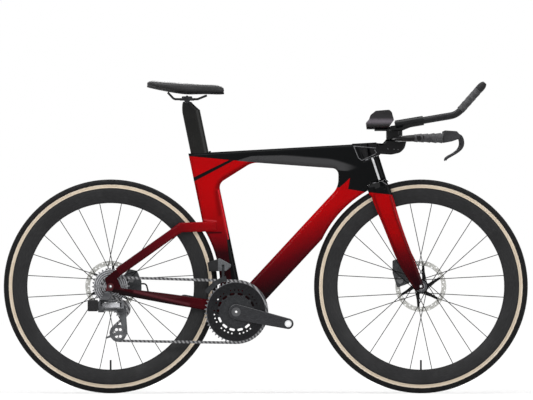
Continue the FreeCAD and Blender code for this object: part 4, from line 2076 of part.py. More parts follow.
# Saddle
# Along the saddle from its rear: way, half width, top, and underside of the pad, as shares
SADDLE_WAY_SHARES = (0.0, 0.05, 0.15, 0.30, 0.47, 0.63, 0.80, 0.93, 1.0)
SADDLE_WIDTH_SHARES = (0.62, 0.87, 1.0, 0.95, 0.67, 0.48, 0.40, 0.36, 0.25)
SADDLE_TOP_SHARES = (0.83, 0.99, 0.97, 0.91, 0.84, 0.78, 0.73, 0.66, 0.46)
SADDLE_MIDDLE_SHARES = (0.66, 0.58, 0.46, 0.30, 0.16, 0.14, 0.15, 0.13, 0.16)
# The section: bottom edge, widest place and shoulder, as shares of the half width and of the height
PAD_FOOT_SHARE = 0.86
PAD_BULGE_SHARE = 0.40
PAD_SHOULDER_SHARES = (0.88, 0.84)
SHELL_FLOOR_SHARE = 0.62
SHELL_BULGE_SHARES = (0.78, 0.6)
# The rails' middle line, in shares of the saddle's length from its rear, height as shares of its depth
RAIL_SHARES = ((0.27, 0.16, 1.25), (0.35, 0.0, 1.0), (0.655, 0.0, 1.0), (0.775, 0.09, 0.7))


def saddle_section(rank):
    """The place along the saddle, its half width, and the heights of its top and of the pad's foot."""
    way = SADDLE_WAY_SHARES[rank] * S.saddle_length + SADDLE_REAR
    return (way, SADDLE_WIDTH_SHARES[rank] * S.saddle_width / 2,
            SADDLE_BASE + SADDLE_TOP_SHARES[rank] * S.saddle_depth,
            SADDLE_BASE + SADDLE_MIDDLE_SHARES[rank] * S.saddle_depth)


def pad_wire(rank):
    """A crowned section of the pad, drawn in at its foot."""
    way, half, top, foot = saddle_section(rank)
    height = top - foot
    shoulder, crown = PAD_SHOULDER_SHARES

    def place(side, rise):
        return Vector(way, half * side, foot + height * rise)

    edges = [
        Part.makeLine(place(-PAD_FOOT_SHARE, 0), place(PAD_FOOT_SHARE, 0)),
        Part.Arc(place(PAD_FOOT_SHARE, 0), place(1, PAD_BULGE_SHARE), place(shoulder, crown)).toShape(),
        Part.Arc(place(shoulder, crown), place(0, 1), place(-shoulder, crown)).toShape(),
        Part.Arc(place(-shoulder, crown), place(-1, PAD_BULGE_SHARE), place(-PAD_FOOT_SHARE, 0)).toShape(),
    ]
    return Part.Wire(edges)


def shell_wire(rank):
    """A section of the shell under the pad: flat on top, narrower below."""
    way, half, _, foot = saddle_section(rank)
    top = foot - S.seat_gap
    floor = foot - S.saddle_shell_thickness
    reach, drop = SHELL_BULGE_SHARES

    def place(side, rise):
        return Vector(way, half * side, rise)

    waist = between(top, floor, drop)
    edges = [
        Part.makeLine(place(PAD_FOOT_SHARE, top), place(-PAD_FOOT_SHARE, top)),
        Part.Arc(place(-PAD_FOOT_SHARE, top), place(-reach, waist),
                 place(-SHELL_FLOOR_SHARE, floor)).toShape(),
        Part.makeLine(place(-SHELL_FLOOR_SHARE, floor), place(SHELL_FLOOR_SHARE, floor)),
        Part.Arc(place(SHELL_FLOOR_SHARE, floor), place(reach, waist), place(PAD_FOOT_SHARE, top)).toShape(),
    ]
    return Part.Wire(edges)


def saddle_rail():
    """The left rail: level in the clamp, rising into the shell at both ends."""
    points = [Vector(way * S.saddle_length + SADDLE_REAR, spread * S.rail_half_spread,
                     RAIL_CENTRE.z + rise * 3 * S.saddle_depth) for way, rise, spread in RAIL_SHARES]
    return bent_tube(points, [S.rail_bend_radius, S.rail_bend_radius], S.rail_radius)


saddle_shell = loft([shell_wire(rank) for rank in range(len(SADDLE_WAY_SHARES))])
keep_shape("saddle_pad", loft([pad_wire(rank) for rank in range(len(SADDLE_WAY_SHARES))]))
keep_shape("saddle_shell", saddle_shell)
keep_shape("saddle_rails", pair(saddle_rail().cut(saddle_shell)))


# Every piece is checked, then written to its own file
doc.recompute()
os.makedirs("parts", exist_ok=True)
for item in doc.Objects:
    if "Invalid" in item.State or "Error" in item.State:
        raise RuntimeError(f"{item.Label} did not recompute")
for label, item in NODES.items():
    if item.Shape.isNull() or not item.Shape.isValid() or not item.Shape.Solids:
        raise RuntimeError(f"{label} has no valid solid")
    item.Shape.exportStep(f"parts/{label}.step")
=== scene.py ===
"""Looks of the time trial bicycle: finishes, padded and wound pieces, floor, light and camera.

Places and lengths are in metres, in the part's own frame: +X forward, +Y to the rider's left, +Z up.
"""
import json
import math

import bmesh
import bpy
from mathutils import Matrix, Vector


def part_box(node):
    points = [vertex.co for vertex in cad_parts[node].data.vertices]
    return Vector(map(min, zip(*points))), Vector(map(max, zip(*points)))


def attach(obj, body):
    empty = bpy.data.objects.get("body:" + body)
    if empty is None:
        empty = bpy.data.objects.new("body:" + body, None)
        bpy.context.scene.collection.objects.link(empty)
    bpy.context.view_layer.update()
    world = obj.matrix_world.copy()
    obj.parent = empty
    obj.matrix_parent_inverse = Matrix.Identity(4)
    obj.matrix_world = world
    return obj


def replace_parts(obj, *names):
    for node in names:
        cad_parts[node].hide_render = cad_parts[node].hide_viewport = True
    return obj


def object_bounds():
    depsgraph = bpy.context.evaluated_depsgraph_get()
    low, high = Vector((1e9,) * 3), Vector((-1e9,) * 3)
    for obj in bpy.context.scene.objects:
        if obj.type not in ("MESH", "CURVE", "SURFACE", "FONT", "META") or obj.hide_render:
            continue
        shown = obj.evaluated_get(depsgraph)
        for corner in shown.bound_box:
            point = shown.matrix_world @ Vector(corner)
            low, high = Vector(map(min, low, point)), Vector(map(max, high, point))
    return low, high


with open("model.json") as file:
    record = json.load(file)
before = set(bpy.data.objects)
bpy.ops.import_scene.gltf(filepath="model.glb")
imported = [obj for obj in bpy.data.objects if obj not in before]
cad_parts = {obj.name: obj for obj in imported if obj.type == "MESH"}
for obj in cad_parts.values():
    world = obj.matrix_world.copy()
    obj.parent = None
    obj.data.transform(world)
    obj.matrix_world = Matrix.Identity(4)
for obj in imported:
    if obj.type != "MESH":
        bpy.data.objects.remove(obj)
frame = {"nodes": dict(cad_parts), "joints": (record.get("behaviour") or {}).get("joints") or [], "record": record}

CAD_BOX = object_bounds()
NODES = frame["nodes"]
JOINTS = {joint["name"]: joint for joint in frame["joints"]}
MM = 0.001
FULL_TURN = 2 * math.pi


# Places taken from the frame
def joint_place(name):
    return Vector(JOINTS[name]["pos_m"])


def joint_axis(name):
    return Vector(JOINTS[name]["axis"]).normalized()


def mount_place(name):
    return Vector(next(mount["pos_m"] for mount in frame["record"]["mounts"] if mount["name"] == name))


FRONT_AXLE = joint_place("front_wheel_spin")
REAR_AXLE = joint_place("rear_wheel_spin")
BRACKET = joint_place("crank_spin")

# Colours, as 0 to 255 levels; a name in the plural holds two shades that a finish mixes
RED = (170, 2, 6)
BRIGHT_RED = (188, 4, 12)
DEEP_RED = (124, 2, 9)
MAROON = (74, 2, 10)
DARK_MAROON = (44, 3, 9)
SHADE_RED = (104, 1, 4)
# Painted highlight on the seat tube's front corner
HIGHLIGHT_RED = (206, 40, 50)
# Painted highlight over the seatstay's joint and painted shadow under it
SOCKET_HIGHLIGHT_RED = (186, 56, 62)
SOCKET_SHADE_RED = (44, 2, 6)
FORK_SHADE_RED = (60, 1, 4)
# Painted highlight along the fork's front edge
FORK_HIGHLIGHT_RED = (158, 22, 30)
# Painted highlight and painted shade on the chainstay
STAY_HIGHLIGHT_RED = (80, 36, 41)
STAY_SHADE_BLACK = (16, 13, 14)
HANGER_RED = (64, 4, 12)
GLOSS_BLACK = (14, 15, 16)
BAR_BLACK = (5, 5, 6)
# Painted reflection on the top tube's lower facet
FACET_REFLECTION_GREY = (62, 62, 63)
# Painted highlight grey, for lines along edges and glints on the stem's bolts
HIGHLIGHT_GREY = (112, 112, 114)
# Painted reflection on the head tube's side
HEAD_REFLECTION_GREY = (206, 207, 209)
TANS = ((206, 190, 168), (223, 210, 193))
PALE_TAN = (231, 220, 205)
RIM_TAN = (210, 195, 174)
TREAD_BLACKS = ((12, 12, 13), (21, 21, 22))
RIM_GREYS = ((36, 36, 37), (47, 47, 48))
RIM_CLOUD = (29, 29, 30)
RIM_DARK = (26, 26, 27)
HANGER_GREYS = ((34, 34, 36), (48, 48, 50))
HUB_GREY = (48, 49, 51)
WORN_METAL = (190, 190, 192)
WORN_HUB = (205, 205, 207)
ROTOR_STEELS = ((178, 178, 174), (212, 212, 207))
CARRIER_BLACKS = ((14, 14, 15), (30, 30, 32))
RING_GREYS = ((24, 24, 26), (38, 39, 41))
TOOTH_GREYS = ((104, 105, 108), (140, 141, 144))
SPIDER_GREYS = ((42, 43, 45), (58, 59, 61))
# Chain: painted shade between the pins, and bright plates
CHAIN_SHADE_AND_PLATE_GREYS = ((66, 66, 68), (140, 140, 142))
CHAIN_OIL = (62, 61, 60)
# Cogs: painted shade towards the next cog, and bright teeth
COG_SHADE_AND_TOOTH_GREYS = ((92, 93, 96), (184, 185, 188))
COG_OIL = (50, 50, 51)
CRANK_BLACKS = ((24, 25, 28), (38, 39, 43))
BUSH_STEEL = (214, 215, 217)
CUP_BLACKS = ((12, 11, 13), (19, 17, 20))
# Painted highlight along the cup's swell
CUP_HIGHLIGHT = (108, 101, 109)
TAPE_GREYS = ((44, 44, 46), (70, 70, 72))
TAPE_PORE = (24, 24, 25)
SADDLE_BLACKS = ((20, 20, 21), (31, 31, 32))
SADDLE_FOOT = (6, 6, 7)
FOAM_GREYS = ((26, 25, 27), (40, 39, 42))
KNIT_GREY = (54, 52, 56)

# Fades of the paint: the reach that each runs over, and its stops from 0 to 1
TUBE_FADE_REACH = (0.02, 0.46)
TUBE_FADE_SLANT = 2.6
TUBE_FADE = ((0.0, (20, 8, 10)), (0.16, DARK_MAROON), (0.40, MAROON), (0.68, DEEP_RED), (1.0, RED))
SEAT_FADE_REACH = (0.36, 0.60)
SEAT_FADE = ((0.0, DARK_MAROON), (0.34, (40, 3, 8)), (0.56, (114, 3, 12)), (0.78, (150, 2, 6)), (1.0, RED))
SEAT_ZONE = (0.055, 0.075)
SEATSTAY_FADE_REACH = (-0.50, -0.18)
SEATSTAY_FADE = ((0.0, (52, 5, 12)), (0.38, (66, 6, 14)), (0.57, (80, 6, 15)), (0.68, (98, 6, 13)),
                 (0.78, (118, 5, 11)), (1.0, (138, 5, 11)))
CHAINSTAY_FADE_REACH = (-0.50, -0.10)
CHAINSTAY_FADE = ((0.0, (40, 4, 9)), (0.30, (42, 4, 10)), (0.60, (52, 4, 11)), (0.72, (62, 5, 12)),
                  (0.84, (78, 4, 13)), (1.0, (52, 3, 9)))
FORK_FADE_REACH = (0.33, 0.63)
FORK_FADE = ((0.0, (20, 3, 7)), (0.13, (34, 2, 7)), (0.24, (64, 2, 8)), (0.35, (92, 2, 8)),
             (0.46, (124, 2, 6)), (0.58, (152, 2, 4)), (1.0, RED))

# Borders of the paint, as places seen from the side: ahead of the middle, above the ground
PAINT_EDGE = 0.6 * MM
DOWN_TUBE_SLOPE = math.radians(47.2)
TOP_BORDER = ((-0.2416, 0.7451), (-0.0351, 0.7256))
STRIPE_UPPER = ((-0.2275, 0.6778), (-0.1194, 0.7310))
STRIPE_LOWER = ((-0.2246, 0.6659), (-0.1033, 0.7300))
HEAD_BORDER = ((0.2584, 0.6417), (0.3149, 0.6323))
SPIKE_BACK = ((0.2301, 0.6449), (0.2647, 0.6763))
SPIKE_FRONT = ((0.2647, 0.6763), (0.2584, 0.6417))
HEAD_ZONE_START = 0.214
FORK_BORDER = ((0.3287, 0.6310), (0.3935, 0.6237))
HANGER_BORDER = 0.322
SEAT_STRIP = ((-0.1250, 0.5066), (-0.1093, 0.3714))
SEAT_STRIP_EDGE = 1.5 * MM
SEAT_STRIP_TOP = 0.505
SEAT_STRIP_TOP_EDGE = 8 * MM
SEAT_STRIP_ZONE = (0.040, 0.050)
# A painted reflection on the head tube's side: a light grey strip, and its half width
HEAD_REFLECTION_STRIP = ((0.3341, 0.7407), (0.3574, 0.6700))
HEAD_REFLECTION_HALF = 3.2 * MM

# A painted reflection on the top tube's lower facet, paler than the paint: lines that it lies below, each with how
# soft it is, and its foot
FACET_REFLECTION_BORDERS = ((((-0.0490, 0.7450), (0.0600, 0.7480)), 2 * MM),
                 (((0.0600, 0.7480), (0.2078, 0.7356)), 3 * MM),
                 (((0.2078, 0.7356), (0.2960, 0.7090)), 4 * MM),
                 (((-0.0779, 0.7350), (-0.0490, 0.7439)), 0.8 * MM))
FACET_REFLECTION_FOOT = ((0.2332, 0.6919), (0.2961, 0.7108))
FACET_REFLECTION_FOOT_EDGE = 4 * MM
FACET_REFLECTION_FADE = (0.240, 0.296)

# Painted lines of highlight and shade along the edges of the frame, fork and stem, and painted glints where the
# stem's bolts are
HIGHLIGHT_HALF = 1.0 * MM
SHADE_HALF = 3.5 * MM
STEM_HIGHLIGHTS = (((0.2763, 0.7768), (0.2914, 0.7391)), ((0.2914, 0.7391), (0.3018, 0.7316)),
              ((0.3018, 0.7316), (0.3454, 0.7526)), ((0.2763, 0.7768), (0.3454, 0.7706)),
              ((0.3417, 0.7658), (0.3480, 0.7548)))
STEM_BOLT_GLINTS = (((0.3747, 0.7903), (0.3777, 0.7903)), ((0.3822, 0.7683), (0.3852, 0.7683)),
              ((0.4015, 0.7670), (0.4045, 0.7670)), ((0.4140, 0.7655), (0.4170, 0.7655)))
CROWN_HIGHLIGHTS = (((0.3140, 0.6549), (0.3530, 0.6653)), ((0.3640, 0.6668), (0.3820, 0.6545)))
SEAT_HIGHLIGHTS = (((-0.1492, 0.6394), (-0.1313, 0.5553)), ((-0.1313, 0.5553), (-0.1172, 0.4830)))
SEAT_HIGHLIGHT_HALF = 2 * HIGHLIGHT_HALF
SEAT_HIGHLIGHT_SHARE = 0.7
SEAT_SHADES = (((-0.0410, 0.7270), (-0.1390, 0.6720)), ((-0.1390, 0.6720), (-0.1560, 0.6400)),
               ((-0.1560, 0.6400), (-0.1429, 0.5566)))
SEAT_SHADE_HALF = 2 * SHADE_HALF
SEAT_BACK_SHADES = (((-0.2183, 0.6577), (-0.1992, 0.5433)),)
SEAT_BACK_HALF = 0.6 * SHADE_HALF
SEAT_SHADE_SHARE = 0.75
SOCKET_HIGHLIGHTS = (((-0.1960, 0.5450), (-0.1540, 0.5400)),)
SOCKET_SHADES = (((-0.1847, 0.5040), (-0.1385, 0.5050)),)
SOCKET_HALF = 0.7 * SHADE_HALF
SOCKET_LIGHT_SHARE = 0.7
STAY_HIGHLIGHTS = (((-0.4150, 0.3206), (-0.2381, 0.2790)),)
STAY_MIDDLE = ((-0.4735, 0.3284), (-0.1870, 0.2621))
STAY_MIDDLE_EDGE = 5 * MM
STAY_SHADE_REACH = (-0.32, -0.20)
STAY_SHADE_SHARES = (0.85, 0.1)
FORK_HIGHLIGHTS = (((0.3958, 0.6219), (0.4137, 0.5528)), ((0.4137, 0.5528), (0.4649, 0.4205)),
              ((0.4649, 0.4205), (0.4860, 0.3693)))
FORK_HIGHLIGHT_SHARE = 0.8
FORK_SHADES = (((0.3385, 0.6219), (0.3640, 0.5500)), ((0.3640, 0.5500), (0.4190, 0.4217)),
               ((0.4190, 0.4217), (0.4660, 0.3300)), ((0.3900, 0.6219), (0.4077, 0.5528)),
               ((0.4077, 0.5528), (0.4589, 0.4205)), ((0.4589, 0.4205), (0.4800, 0.3693)))
FORK_SHADE_SHARE = 0.6

# Rims and tyres: radii where a finish changes or that turn an angle into a length, fibre and threads
TAN_START = 309.0 * MM
TAN_START_EDGE = 0.4 * MM
TAN_END = 319.6 * MM
TAN_END_EDGE = 0.5 * MM
TAN_WANDER = 0.4 * MM
RIM_EDGE_RADII = (303 * MM, 307 * MM)
RIM_NOSE_RADII = (262 * MM, 268 * MM)
RIM_DARK_SHARE = 0.65
RIM_ARC_RADIUS = 0.29
RIM_FIBRE_SHARE = 0.12
TYRE_ARC_RADIUS = 0.336
THREAD_SLANT = 0.8
THREAD_PERIOD = 1.1 * MM
FILE_PERIOD = 2.4 * MM

# Rotors, chain, cogs and cranks
CARRIER_END = 64 * MM
CARRIER_EDGE = 0.5 * MM
SPIDER_END = 58 * MM
TOOTH_RADII = (91 * MM, 94 * MM)
LATHE_PERIOD = 0.9 * MM
RING_PERIOD = 1.0 * MM
CHAIN_PERIOD = 12.7 * MM
CHAIN_SLANT = 0.6
COG_PERIOD = 6.3 * MM
BUSH_RADII = (10.6 * MM, 11.0 * MM)

# Cups, saddle and pads
# The cups' painted highlight: height of the swell it lies along, its half width and share
CUP_SWELL = 0.854
CUP_HIGHLIGHT_HALF = 13 * MM
CUP_HIGHLIGHT_SHARE = 0.95
SADDLE_MIDDLE = ((-0.3711, 0.9690), (-0.1322, 0.9480))
SADDLE_FADE = 9 * MM
KNIT_PERIOD = 1.2 * MM

# Ranges of the noise that finishes spread out, and of the pointed edges where metal wears bright
NOISE_MIDDLE = (0.3, 0.7)
POINTED = (0.52, 0.60)


def linear(colour):
    """A 0 to 255 colour as the shader's linear values."""
    steps = [level / 255 for level in colour]
    return (*[s / 12.92 if s <= 0.04045 else ((s + 0.055) / 1.055) ** 2.4 for s in steps], 1.0)


class Finish:
    """A procedural finish: one Principled shader and short calls for the nodes that feed it."""

    def __init__(self, name, **settings):
        self.material = bpy.data.materials.new(name)
        self.material.use_nodes = True
        self.tree = self.material.node_tree
        self.tree.nodes.clear()
        output = self.node("ShaderNodeOutputMaterial")
        self.shader = self.node("ShaderNodeBsdfPrincipled")
        self.tree.links.new(self.shader.outputs["BSDF"], output.inputs["Surface"])
        self.place = self.node("ShaderNodeTexCoord").outputs["Object"]
        parts = self.node("ShaderNodeSeparateXYZ")
        self.feed(parts.inputs[0], self.place)
        self.x, self.y, self.z = parts.outputs
        for key, value in settings.items():
            self.shader.inputs[key.replace("_", " ")].default_value = value

    def node(self, kind, **settings):
        made = self.tree.nodes.new(kind)
        for key, value in settings.items():
            setattr(made, key, value)
        return made

    def feed(self, socket, value):
        if isinstance(value, bpy.types.NodeSocket):
            self.tree.links.new(value, socket)
        else:
            socket.default_value = value

    def math(self, operation, *values):
        made = self.node("ShaderNodeMath", operation=operation)
        for socket, value in zip(made.inputs, values):
            self.feed(socket, value)
        return made.outputs[0]

    def spread(self, value, low, high, start=0.0, end=1.0, smooth=True):
        """Maps a value from low..high to start..end."""
        made = self.node("ShaderNodeMapRange")
        made.interpolation_type = "SMOOTHSTEP" if smooth else "LINEAR"
        for key, item in (("Value", value), ("From Min", low), ("From Max", high),
                          ("To Min", start), ("To Max", end)):
            self.feed(made.inputs[key], item)
        return made.outputs[0]

    def mix(self, share, first, second):
        """A colour between two colours, each a socket or 0 to 255 levels."""
        made = self.node("ShaderNodeMix", data_type="RGBA")
        self.feed(made.inputs["Factor"], share)
        for name, colour in (("A", first), ("B", second)):
            socket = [s for s in made.inputs if s.name == name and s.type == "RGBA"][0]
            self.feed(socket, linear(colour) if isinstance(colour, tuple) else colour)
        return [s for s in made.outputs if s.type == "RGBA"][0]

    def steps(self, value, stops):
        """A colour ramp through stops, each a value from 0 to 1 and a colour."""
        made = self.node("ShaderNodeValToRGB")
        ramp = made.color_ramp
        while len(ramp.elements) < len(stops):
            ramp.elements.new(0.5)
        for element, (position, colour) in zip(ramp.elements, stops):
            element.position = position
            element.color = linear(colour)
        self.feed(made.inputs[0], value)
        return made.outputs["Color"]

    def past(self, value, border, edge=PAINT_EDGE):
        """0 short of a border and 1 past it, with a soft edge."""
        return self.spread(value, border - edge, border + edge)

    def short_of(self, value, border, edge=PAINT_EDGE):
        """1 short of a border and 0 past it, with a soft edge."""
        return self.spread(value, border - edge, border + edge, 1.0, 0.0)

    def tinted(self, shown, mask, share, colour):
        """A colour with a share of another over it where a mask is 1."""
        return self.mix(self.math("MULTIPLY", mask, share), shown, colour)

    def noise(self, size, detail=3.0, stretch=(1, 1, 1), place=None):
        """Cloudy values whose patches are about size across, drawn out along the stretched axes."""
        mapping = self.node("ShaderNodeMapping")
        self.feed(mapping.inputs["Vector"], place or self.place)
        mapping.inputs["Scale"].default_value = [1 / factor for factor in stretch]
        made = self.node("ShaderNodeTexNoise")
        made.inputs["Scale"].default_value = 1 / size
        made.inputs["Detail"].default_value = detail
        self.feed(made.inputs["Vector"], mapping.outputs[0])
        return made.outputs["Fac"]

    def even(self, noise, start=0.0, end=1.0):
        """Spreads the middle of a noise's range over start..end."""
        return self.spread(noise, *NOISE_MIDDLE, start, end)

    def cells(self, size):
        """Random grey patches about size across."""
        made = self.node("ShaderNodeTexVoronoi")
        made.inputs["Scale"].default_value = 1 / size
        self.feed(made.inputs["Vector"], self.place)
        return made.outputs["Color"]

    def waves(self, value, length):
        """A value that swings between 0 and 1 once in each length."""
        swing = self.math("SINE", self.math("MULTIPLY", value, FULL_TURN / length))
        return self.math("MULTIPLY_ADD", swing, 0.5, 0.5)

    def side_of(self, line):
        """How far a point lies above a line drawn forward, seen from the side."""
        (x0, z0), (x1, z1) = line
        length = math.hypot(x1 - x0, z1 - z0)
        ahead, rise = (x1 - x0) / length, (z1 - z0) / length
        part = self.math("MULTIPLY_ADD", self.x, -rise, rise * x0 - ahead * z0)
        return self.math("MULTIPLY_ADD", self.z, ahead, part)

    def above(self, line, edge=PAINT_EDGE):
        return self.past(self.side_of(line), 0.0, edge)

    def below(self, line, edge=PAINT_EDGE):
        return self.short_of(self.side_of(line), 0.0, edge)

    def all_of(self, *masks):
        found = masks[0]
        for mask in masks[1:]:
            found = self.math("MULTIPLY", found, mask)
        return found

    def along(self, start, slope):
        """Distance from start along a slope, seen from the side."""
        part = self.math("MULTIPLY_ADD", self.x, math.cos(slope),
                         -start.x * math.cos(slope) - start.z * math.sin(slope))
        return self.math("MULTIPLY_ADD", self.z, math.sin(slope), part)

    def bands(self, lines, half, soft=PAINT_EDGE):
        """1 on straight bands, each as long as its line and twice half wide, seen from the side."""
        found = 0.0
        for (x0, z0), (x1, z1) in lines:
            slope = math.atan2(z1 - z0, x1 - x0)
            start = Vector((x0, 0, z0))
            length = math.hypot(x1 - x0, z1 - z0)
            along = self.along(start, slope)
            across = self.math("ABSOLUTE", self.along(start, slope + math.pi / 2))
            band = self.all_of(self.short_of(across, half, soft), self.past(along, 0.0, soft),
                               self.short_of(along, length, soft))
            found = self.math("MAXIMUM", band, found)
        return found

    def soft_bands(self, lines, half):
        """Bands that fade out over their whole width."""
        return self.bands(lines, half, half)

    def radius(self, centre):
        """Distance from an axle that runs across the bicycle."""
        ahead = self.math("SUBTRACT", self.x, centre.x)
        up = self.math("SUBTRACT", self.z, centre.z)
        return self.math("SQRT", self.math("ADD", self.math("MULTIPLY", ahead, ahead),
                                           self.math("MULTIPLY", up, up)))

    def turn(self, centre):
        """Angle about an axle that runs across the bicycle, in radians."""
        ahead = self.math("SUBTRACT", self.x, centre.x)
        up = self.math("SUBTRACT", self.z, centre.z)
        return self.math("ARCTAN2", up, ahead)

    def lathe_rings(self, centre, period):
        """Fine uneven rings about an axle, such as a lathe leaves."""
        return self.math("MULTIPLY", self.waves(self.radius(centre), period), self.even(self.noise(6 * MM)))

    def worn_edges(self, share):
        """That share on pointed edges, and none elsewhere."""
        point = self.node("ShaderNodeNewGeometry").outputs["Pointiness"]
        return self.spread(point, *POINTED, 0.0, share)

    def colour(self, value):
        self.feed(self.shader.inputs["Base Color"], linear(value) if isinstance(value, tuple) else value)
        return self

    def rough(self, value):
        self.feed(self.shader.inputs["Roughness"], value)
        return self

    def bump(self, height, strength, depth):
        """Adds relief from a height that runs from 0 to 1, depth tall."""
        made = self.node("ShaderNodeBump")
        made.inputs["Strength"].default_value = strength
        made.inputs["Distance"].default_value = depth
        self.feed(made.inputs["Height"], height)
        normal = self.shader.inputs["Normal"]
        if normal.is_linked:
            self.feed(made.inputs["Normal"], normal.links[0].from_socket)
        self.feed(normal, made.outputs[0])
        return self


# Painted pieces
def lacquer(name):
    """Deep gloss lacquer with a clear coat and a faint orange peel."""
    f = Finish(name, Coat_Weight=0.08, Coat_Roughness=0.04, Specular_IOR_Level=0.0)
    f.rough(f.even(f.noise(30 * MM), 0.16, 0.24))
    f.bump(f.noise(2.2 * MM, detail=2.0), strength=0.05, depth=0.1 * MM)
    return f


def flaked(f, colour):
    """Breaks a paint colour up with fine flake and a broad drift in depth."""
    drift = f.spread(f.noise(90 * MM, detail=2.0), 0.35, 0.65, 0.0, 0.10)
    flake = f.spread(f.noise(0.9 * MM, detail=1.0), 0.55, 0.8, 0.0, 0.12)
    return f.mix(flake, f.mix(drift, colour, GLOSS_BLACK), BRIGHT_RED)


def frame_fields(f):
    """The frame's fields of red and black, with the seat tube's stripe and strip."""
    tube = f.along(BRACKET, DOWN_TUBE_SLOPE)
    offset = f.along(BRACKET, DOWN_TUBE_SLOPE + math.pi / 2)
    reach = f.math("MULTIPLY_ADD", offset, TUBE_FADE_SLANT, tube)
    tube_red = f.steps(f.spread(reach, *TUBE_FADE_REACH, smooth=False), TUBE_FADE)
    seat_red = f.steps(f.spread(f.z, *SEAT_FADE_REACH, smooth=False), SEAT_FADE)
    red = flaked(f, f.mix(f.spread(offset, *SEAT_ZONE), tube_red, seat_red))
    spike = f.all_of(f.below(SPIKE_BACK), f.below(SPIKE_FRONT))
    head_red = f.math("MAXIMUM", f.below(HEAD_BORDER), spike)
    shown = f.mix(f.below(TOP_BORDER), GLOSS_BLACK, red)
    shown = f.mix(f.past(f.x, HEAD_ZONE_START), shown, f.mix(head_red, GLOSS_BLACK, red))
    stripe = f.all_of(f.below(STRIPE_UPPER), f.above(STRIPE_LOWER), f.below(TOP_BORDER))
    shown = f.mix(stripe, shown, GLOSS_BLACK)
    strip = f.all_of(f.above(SEAT_STRIP, SEAT_STRIP_EDGE),
                     f.short_of(f.z, SEAT_STRIP_TOP, SEAT_STRIP_TOP_EDGE),
                     f.spread(offset, *SEAT_STRIP_ZONE))
    return f.mix(strip, shown, GLOSS_BLACK)


def frame_paint():
    """The frame's fields with a paler painted reflection on the top tube's facet, painted highlights and shade
    along its edges and a painted reflection strip down the head tube.
    """
    f = lacquer("frame_paint")
    # A painted reflection on the top tube's lower facet, in grey
    facet_reflection = f.all_of(*[f.below(*border) for border in FACET_REFLECTION_BORDERS], f.above(TOP_BORDER),
                     f.above(FACET_REFLECTION_FOOT, FACET_REFLECTION_FOOT_EDGE), f.spread(f.x, *FACET_REFLECTION_FADE, 1.0, 0.0))
    shown = f.mix(facet_reflection, frame_fields(f), FACET_REFLECTION_GREY)
    # Painted highlight lines where the stem meets the frame
    shown = f.mix(f.bands(STEM_HIGHLIGHTS, HIGHLIGHT_HALF), shown, HIGHLIGHT_GREY)
    shade = f.all_of(f.soft_bands(SEAT_SHADES, SEAT_SHADE_HALF), f.below(TOP_BORDER))
    shown = f.tinted(shown, shade, SEAT_SHADE_SHARE, SHADE_RED)
    shown = f.tinted(shown, f.soft_bands(SEAT_BACK_SHADES, SEAT_BACK_HALF), SEAT_SHADE_SHARE, SHADE_RED)
    # A painted highlight over the seatstay's joint to the seat tube and a painted shadow under the stay
    shown = f.tinted(shown, f.soft_bands(SOCKET_HIGHLIGHTS, SOCKET_HALF), SOCKET_LIGHT_SHARE, SOCKET_HIGHLIGHT_RED)
    shown = f.mix(f.soft_bands(SOCKET_SHADES, SOCKET_HALF), shown, SOCKET_SHADE_RED)
    # A painted highlight down the seat tube's front corner
    shown = f.tinted(shown, f.bands(SEAT_HIGHLIGHTS, SEAT_HIGHLIGHT_HALF), SEAT_HIGHLIGHT_SHARE, HIGHLIGHT_RED)
    # A painted reflection strip down the head tube's side
    return f.colour(f.mix(f.bands((HEAD_REFLECTION_STRIP,), HEAD_REFLECTION_HALF), shown, HEAD_REFLECTION_GREY)).material


def seatstay_paint():
    f = lacquer("seatstay_paint")
    red = f.steps(f.spread(f.x, *SEATSTAY_FADE_REACH, smooth=False), SEATSTAY_FADE)
    return f.colour(flaked(f, red)).material


def chainstay_paint():
    """Maroon, with painted shade below the stay's middle and a painted highlight along it."""
    f = lacquer("chainstay_paint")
    red = f.steps(f.spread(f.x, *CHAINSTAY_FADE_REACH, smooth=False), CHAINSTAY_FADE)
    shade = f.all_of(f.below(STAY_MIDDLE, STAY_MIDDLE_EDGE),
                     f.spread(f.x, *STAY_SHADE_REACH, *STAY_SHADE_SHARES))
    # Painted shade below the stay's middle, then a painted highlight along it
    shown = f.mix(shade, flaked(f, red), STAY_SHADE_BLACK)
    return f.colour(f.mix(f.soft_bands(STAY_HIGHLIGHTS, SHADE_HALF), shown, STAY_HIGHLIGHT_RED)).material


def fork_paint():
    """Red that darkens towards the tips, under a black crown, with painted shade and highlights along its edges
    and painted highlights on the crown.
    """
    f = lacquer("fork_paint")
    red = f.steps(f.spread(f.z, *FORK_FADE_REACH, smooth=False), FORK_FADE)
    shown = f.mix(f.above(FORK_BORDER), flaked(f, red), GLOSS_BLACK)
    shown = f.tinted(shown, f.soft_bands(FORK_SHADES, SHADE_HALF), FORK_SHADE_SHARE, FORK_SHADE_RED)
    # A painted highlight along the fork's front edge
    shown = f.tinted(shown, f.bands(FORK_HIGHLIGHTS, HIGHLIGHT_HALF), FORK_HIGHLIGHT_SHARE, FORK_HIGHLIGHT_RED)
    # Painted highlights on the crown's top edge and front shoulder
    return f.colour(f.mix(f.bands(CROWN_HIGHLIGHTS, HIGHLIGHT_HALF), shown, HIGHLIGHT_GREY)).material


def hanger_finish():
    """Dark alloy, painted with the dropout above its foot."""
    f = Finish("hanger_finish", Specular_IOR_Level=0.2)
    grain = f.noise(0.8 * MM, detail=4.0)
    bare = f.mix(f.even(grain), *HANGER_GREYS)
    f.colour(f.mix(f.past(f.z, HANGER_BORDER), bare, flaked(f, HANGER_RED)))
    f.rough(f.even(grain, 0.30, 0.42))
    return f.bump(grain, strength=0.06, depth=0.08 * MM).material


# Carbon pieces
def lightened(colour, gain, lift):
    return tuple(min(255, int(level * gain + lift)) for level in colour)


